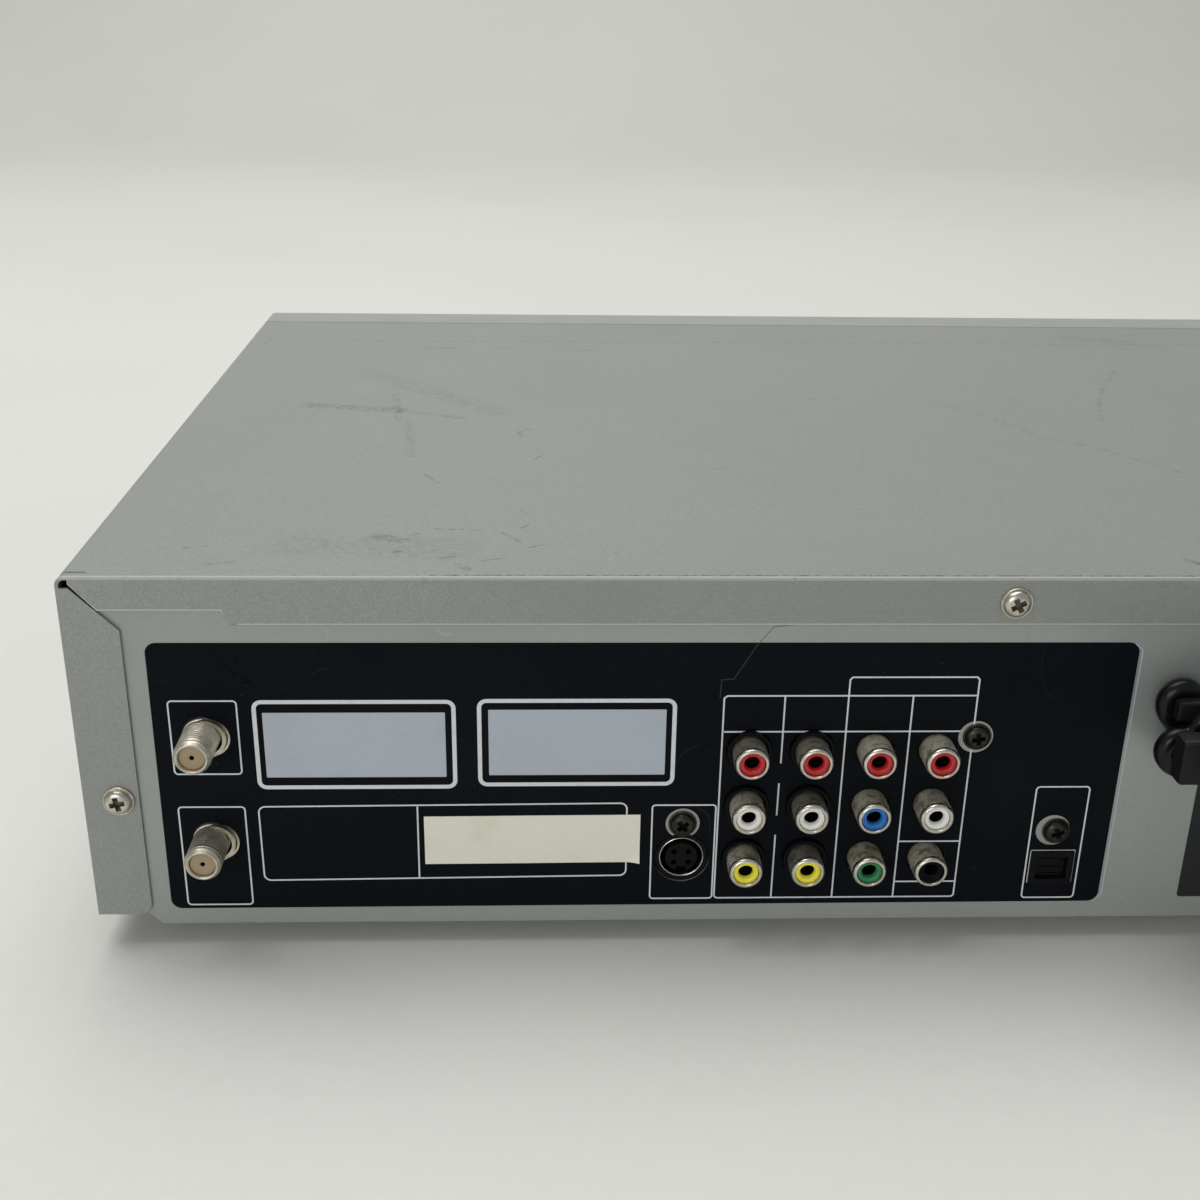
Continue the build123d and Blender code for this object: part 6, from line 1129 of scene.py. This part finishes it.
def make_aerials():
    """Two aerial connectors, the upper thread deeper than the lower, each with two clip rings at its foot."""
    bm = bmesh.new()
    base = [(4.45, -0.8), (4.45, 0.9), (4.35, 1.1), (4.15, 1.15), (4.15, 1.9), (BARREL, THREAD_START)]
    tip = [(BARREL, THREAD_END), (4.16, 10.42), (4.16, 10.62), (4.34, 10.76), (4.3, 11.15), (4.08, 11.55),
           (3.8, 11.85), (3.72, 12.02), (3.6, 12.17), (3.42, 12.2), (3.2, 12.08), (3.05, 11.8),
           (3.02, 11.3), (3.02, 6.0)]
    for (across, down), depth in zip(AERIALS, THREAD_DEPTHS):
        place = rear_point(across, down)
        lathe(bm, base, place, steps=48)
        thread_rings(bm, place, THREAD_START, THREAD_END, BARREL, depth)
        lathe(bm, tip, place, steps=48)
        split_ring(bm, place + Vector((-1.0, 0, -0.35)) * MM, 3.9, 4.75, 0.9, 2.0, *CLIP_SWEEP)
        split_ring(bm, place + Vector((-1.7, 0, -0.7)) * MM, 4.2, 4.7, 0.15, 0.6, *CLIP_SWEEP)
    bmesh.ops.remove_doubles(bm, verts=bm.verts, dist=2e-6)
    piece = add_made("aerial_barrels", bm, "case", "nickel", AERIAL_NICKEL, AERIAL_GROOVE, sharp=50.0)
    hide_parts("rf_connectors")
    bm = bmesh.new()
    # Each core's centre hole takes black, painted shade inside the hole.
    core = [(3.0, 6.0), (3.0, 11.2), (2.9, 11.32), (1.6, 11.42), (0.75, 11.42), (0.56, 11.3), (0.5, 9.0),
            (0, 8.9)]
    for across, down in AERIALS:
        lathe(bm, core, rear_point(across, down), steps=36, finishes=[0] * 5 + [1] * 2)
    piece = add_made("aerial_cores", bm, "case", "tan", TAN, BLACK)
    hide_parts("rf_insulators")
    # Black ring round each aerial's foot over the panel hole: painted shade of the hole.
    bm = bmesh.new()
    hole_shade_ring = [(3.2, -0.7), (7.36, -0.7), (7.36, 0.045), (3.2, 0.045), (3.2, -0.7)]
    for across, down in AERIALS:
        lathe(bm, hole_shade_ring, rear_point(across - AERIAL_HOLE_SHIFT, down), steps=48)
    bmesh.ops.remove_doubles(bm, verts=bm.verts, dist=1e-6)
    add_made("aerial_hole_shade", bm, "case", "panel", BLACK_PRINT)


make_aerials()

# Screws


SCREW_SHANK, SCREW_LENGTH = 1.4, 6.2


def cross_head(radius, height, shank, length):
    """Mesh of a screw whose domed head has a tapered cross recess; its seat is at the origin, facing +Y."""
    bm = bmesh.new()
    profile = [(0, -length), (shank * 0.5, -length + 0.4), (shank, -length + 1.2), (shank, 0.0),
               (radius - 0.1, 0.0), (radius, 0.2), (radius, height * 0.22), (radius * 0.97, height * 0.3),
               (radius * 0.92, height * 0.32), (radius * 0.86, height * 0.28)]
    for step in range(1, 6):
        angle = math.radians(15 * step)
        profile.append((radius * (0.4 + 0.46 * math.cos(angle)), height * (0.3 + 0.7 * math.sin(angle))))
    profile.append((0, height))
    lathe(bm, profile, Vector((0, 0, 0)), steps=36)
    head = bpy.data.objects.new("screw_blank", mesh_of("screw_blank", bm))
    bm = bmesh.new()
    wide, narrow, deep = radius * 0.56, radius * 0.17, height * 0.8
    for arm in (0, 1):
        corners = []
        for out, share in ((height + 0.5, 1.0), (height - deep, 0.45)):
            for x, z in rectangle(-1, -1, 1, 1):
                across, upward = (x * narrow, z * wide * share) if arm else (x * wide * share, z * narrow)
                corners.append(bm.verts.new(Vector((across + 0.003 * arm, out + 0.002 * arm, upward)) * MM))
        bm.faces.new(corners[:4])
        bm.faces.new(corners[4:][::-1])
        bridge(bm, [corners[4:], corners[:4]])
    cutter = bpy.data.objects.new("screw_cutter", mesh_of("screw_cutter", bm))
    for maker in (head, cutter):
        bpy.context.scene.collection.objects.link(maker)
    cut = head.modifiers.new("recess", "BOOLEAN")
    cut.operation = "DIFFERENCE"
    cut.solver = "EXACT"
    cut.use_self = True
    cut.object = cutter
    mesh = bpy.data.meshes.new_from_object(head.evaluated_get(bpy.context.evaluated_depsgraph_get()))
    for maker in (head, cutter):
        bpy.data.objects.remove(maker)
    # Faces inside the cross take the second finish, a darker colour painted as the shade in the recess.
    for face in mesh.polygons:
        near = math.hypot(face.center.x, face.center.z) < radius * 0.62 * MM
        if near and face.center.y > 0 and (face.normal.y < 0.8 or face.center.y < height * 0.5 * MM):
            face.material_index = 1
    return mesh


def make_screws(name, node, slot, finish, recess, places, radius, height):
    """Several cross-head screws as one piece; places hold a point and a turn in degrees."""
    pattern = cross_head(radius, height, SCREW_SHANK, SCREW_LENGTH)
    bm = bmesh.new()
    for point, turn in places:
        copy = pattern.copy()
        copy.transform(Matrix.Translation(point) @ Matrix.Rotation(math.radians(turn), 4, "Y"))
        bm.from_mesh(copy)
        bpy.data.meshes.remove(copy)
    bpy.data.meshes.remove(pattern)
    piece = add_made(name, bm, "case", slot, finish, recess, sharp=32.0)
    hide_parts(node)


COVER_SCREWS = [((206.74, 41.0), 12.0), ((-206.74, 41.0), 40.0), ((0.0, 91.4), 28.0)]
make_screws("cover_screw_heads", "cover_screws", "nickel", SCREW_NICKEL, RECESS,
            [(Vector((x * MM, REAR, z * MM)), turn) for (x, z), turn in COVER_SCREWS], 3.75, 2.1)
# The dark screws' recesses take black plastic: painted shade.
make_screws("panel_screw_heads", "panel_screws", "dark_screws", BLACK_SCREW, BLACK,
            [(rear_point(*place, 0.06), turn) for place, turn in zip(DARK_SCREWS, (8.0, 20.0, 38.0))],
            3.4, 1.7)


def make_screw_lands():
    """Bare metal rings that show beside the dark screws; the one over the S-video socket is cut by it."""
    bm = bmesh.new()
    thick = 0.09
    land = [(0, 0.0), (4.05, 0.0), (4.15, 0.03), (4.15, 0.075), (4.05, thick), (0, thick)]
    for (across, down), shift in zip(DARK_SCREWS[:2], ((-0.3, 0.1), (-0.8, -0.1))):
        lathe(bm, land, rear_point(across + shift[0], down + shift[1]), steps=44)
    rings = mesh_of("land_rings", bm)
    across, down = DARK_SCREWS[2]
    clear = 6.72
    cut = [p for p in disc(across, down, 4.1, 60) if math.dist(p, SVIDEO) > clear]
    apex = max(range(len(cut)), key=lambda i: math.dist(cut[i], cut[i - 1]))
    cut = cut[apex:] + cut[:apex]
    spread = math.atan2(abs(cut[0].x - SVIDEO[0]), SVIDEO[1] - cut[0].y)
    side = math.copysign(1.0, cut[-1].x - SVIDEO[0])
    for step in range(1, 8):
        angle = side * spread * (1 - 2 * step / 8)
        cut.append(Vector((SVIDEO[0] + clear * math.sin(angle), SVIDEO[1] - clear * math.cos(angle))))
    crescent = cut_sheet("land_crescent", [cut], 0.0, thick)
    add_joined("screw_lands", [rings, crescent], "panel", BARE_METAL)


make_screw_lands()

# Front


KEY_FACE = 1.2
WINDOW_FACE = -0.4
SEGMENTS = [((-2.1, 4.5), (2.1, 4.5)), ((-2.1, 0.0), (2.1, 0.0)), ((-2.1, -4.5), (2.1, -4.5)),
            ((-2.5, 0.5), (-2.5, 4.1)), ((2.5, 0.5), (2.5, 4.1)), ((-2.5, -4.1), (-2.5, -0.5)),
            ((2.5, -4.1), (2.5, -0.5))]


def front_point(x, z, out=0.0):
    """Point on the front, mm in the part's own frame, out of the face of the front panel."""
    return Vector((x * MM, FRONT - out * MM, z * MM))


def make_key_signs():
    """Plain printed signs on the keys; each moves with its key."""
    eject = [[(-2.3, 0.1), (2.3, 0.1), (0.0, 2.0)], rectangle(-2.3, -1.6, 2.3, -0.8)]
    power = [arc(3.0, 120, 420) + arc(2.5, 420, 120), rectangle(-0.25, 1.5, 0.25, 3.6)]
    for body, x, z, outlines in (
            ("tape_eject_button", -17.2, 47.5, eject), ("disc_eject_button", 178.5, 52.0, eject),
            ("stop_button", 144.5, 34.0, [rectangle(-1.9, -1.9, 1.9, 1.9)]),
            ("play_button", 167.5, 34.0, [[(-1.7, -2.3), (2.4, 0.0), (-1.7, 2.3)]]),
            ("record_button", 190.5, 34.0, [arc(2.1, 0, 350, 35)]), ("power_button", -192.0, 34.0, power)):
        name = body.replace("button", "sign")
        slot, finish = ("red", RED) if body == "record_button" else ("keys", BLACK_PRINT)
        moved = [[(x + a, z + b) for a, b in outline] for outline in outlines]
        add_sheet(name, moved, KEY_FACE - 0.03, KEY_FACE + 0.04, body, slot, finish, front_point)


def make_display():
    """Unlit segments that show through the smoked window."""
    level, low, high = 28.5, WINDOW_FACE - 0.03, WINDOW_FACE + 0.03
    bm = bmesh.new()

    def strip(start, end, width):
        box_strip(bm, start, end, width, low, high, front_point)

    def spot(x, radius, end, steps):
        return [(x + a, level + b) for a, b in arc(radius, 0, end, steps)]

    for x in (-22.0, -11.5, 3.5, 14.0, 29.0, 39.5):
        for (x0, z0), (x1, z1) in SEGMENTS:
            strip((x + x0 + 0.1 * z0, level + z0), (x + x1 + 0.1 * z1, level + z1), 0.85)
    for x in (-3.9, 21.6):
        for rise in (-2.0, 2.0):
            strip((x, level + rise - 0.5), (x, level + rise + 0.5), 1.0)
    strips = mesh_of("display_strips", bm)
    icons = [spot(-55, 4.2, 352, 44), spot(-55, 1.1, 345, 24),
             rounded(rectangle(-46.5, level - 3.2, -34.5, level + 3.2), 0.8, 3),
             spot(-43.4, 1.5, 345, 24), spot(-37.6, 1.5, 345, 24),
             [(53.0, level - 2.6), (58.0, level), (53.0, level + 2.6)], spot(65.0, 2.3, 350, 36)]
    shapes = cut_sheet("display_icons", icons, low, high, front_point)
    add_joined("display_segments", [strips, shapes], "window", GHOST)


def make_front_trim():
    """Finger ribs of the cassette door and the tray, and the printed field round the front jacks."""
    for name, body, x, z, half, rise in (("door_rib", "door", -106.2, 60.6, 62.0, 0.6),
                                         ("tray_rib", "tray", 118.5, 63.6, 40.0, 0.5)):
        bm = bmesh.new()
        rings = []
        for share, out in ((1.0, -0.05), (1.0, rise - 0.25), (0.6, rise)):
            wide = half + share
            shape = rounded(rectangle(x - wide, z - share, x + wide, z + share), 0.9 * share, 5)
            rings.append([bm.verts.new(front_point(p.x, p.y, out)) for p in shape])
        bridge(bm, rings)
        bm.faces.new(rings[0])
        bm.faces.new(rings[-1])
        add_made(name, bm, body, "front", KEY_PLASTIC)
    holes = [disc(x, FRONT_JACK_LEVEL, 5.3) for x, _ in FRONT_JACKS]
    field = rounded(rectangle(-173.0, 15.5, -125.0, 32.5), 2.2, 6)
    add_sheet("front_jack_field", [field] + holes, PRINT_LOW, PRINT_HIGH, "case", "front", BLACK_PRINT,
              front_point)
    lines = ring_outline(rectangle(-171.6, 16.9, -126.4, 31.1), 1.4, 0.4)
    add_sheet("front_jack_frame", lines, 0.03, 0.08, "case", "front", LIGHT_PRINT, front_point)


make_key_signs()
make_display()
make_front_trim()

# Finishes of the carried-over nodes


def dress(finish, *names):
    for name in names:
        node = NODES[name]
        node.data.materials.clear()
        node.data.materials.append(finish)


dress(PAINT, "top_cover")
dress(PANEL_PAINT, "rear_panel")
dress(GALVANISED, "base_plate", "deck_plate", "holder_sliders", "cassette_holder", "tuner_can", "pinch_arm")
dress(SILVER_PLASTIC, "front_bezel", "cassette_door", "tray_front")
dress(SMOKED, "display_window")
dress(RUBBER, "feet", "pinch_roller", "tray_belt")
dress(KEY_PLASTIC, "power_button", "tape_eject_button", "disc_eject_button", "stop_button", "play_button",
      "record_button")
dress(BOARD, "main_board")
dress(BOARD_TAN, "key_board", "power_supply")
dress(BLACK, "jack_housings", "svideo_socket", "optical_socket", "optical_shutter", "supply_reel",
      "takeup_reel", "loader_frame", "traverse_frame", "turntable")
dress(DRUM_ALLOY, "lower_drum", "head_drum", "pickup_sled")
dress(GROUND_STEEL, "capstan", "lead_screw", "drive_motors", "tape_heads", "entry_guide", "exit_guide")
dress(TRAY_BLACK, "disc_tray", "clamp_puck")
dress(NATURAL, "tray_gear", "motor_pulley")


def soften(node, width, angle=35.0):
    """Round the edges of a carried-over node a little."""
    piece = NODES[node]
    weld = piece.modifiers.new("weld", "WELD")
    weld.merge_threshold = 1e-6
    bevel = piece.modifiers.new("edge", "BEVEL")
    bevel.width = width * MM
    bevel.segments = 3
    bevel.limit_method = "ANGLE"
    bevel.angle_limit = math.radians(angle)
    bevel.harden_normals = True


for node_name, edge_width in (("top_cover", 0.3), ("rear_panel", 0.2), ("front_bezel", 0.3),
                              ("cassette_door", 0.4), ("tray_front", 0.4), ("optical_socket", 0.15),
                              ("svideo_socket", 0.12)):
    soften(node_name, edge_width)

# Floor and light


def make_floor():
    """Pale floor that sweeps up into a backdrop behind the front of the case."""
    bm = bmesh.new()
    near, bend, radius, high, steps = 3.0, -1.6, 0.8, 3.0, 12
    profile = [(near, 0.0), (bend, 0.0)]
    for step in range(1, steps + 1):
        angle = math.radians(90 * step / steps)
        profile.append((bend - radius * math.sin(angle), radius * (1 - math.cos(angle))))
    profile.append((bend - radius, high))
    rows = [[bm.verts.new((x, y, z)) for y, z in profile] for x in (-4.0, 4.0)]
    for i in range(len(profile) - 1):
        bm.faces.new([rows[0][i], rows[1][i], rows[1][i + 1], rows[0][i + 1]])
    f = Finish("floor_card", (0.67, 0.67, 0.63), 0.8)
    f.grain(220.0, 0.06)
    f.patches(3.0, 0.4, 0.7, (0.64, 0.64, 0.60), 0.6)
    mesh = mesh_of("floor", bm)
    mesh.materials.append(f.done())
    floor = bpy.data.objects.new("floor", mesh)
    bpy.context.scene.collection.objects.link(floor)


def add_lamp(name, place, target, size, power):
    data = bpy.data.lights.new(name, "AREA")
    data.shape = "RECTANGLE"
    data.size, data.size_y = size
    data.energy = power
    lamp = bpy.data.objects.new(name, data)
    lamp.location = place
    lamp.rotation_euler = (Vector(target) - Vector(place)).to_track_quat("-Z", "Y").to_euler()
    bpy.context.scene.collection.objects.link(lamp)


def set_light():
    world = bpy.data.worlds.new("studio")
    world.use_nodes = True
    background = world.node_tree.nodes["Background"]
    background.inputs["Color"].default_value = (0.93, 0.95, 0.95, 1.0)
    background.inputs["Strength"].default_value = 0.36
    bpy.context.scene.world = world
    add_lamp("ceiling", (0.45, -0.45, 2.2), (0.1, 0.0, 0.0), (2.2, 2.0), 46.0)
    add_lamp("behind_camera", (1.1, 2.3, 0.8), (0.0, 0.1, 0.05), (1.6, 1.0), 16.0)


make_floor()
set_light()
bpy.context.scene.view_settings.view_transform = "Standard"
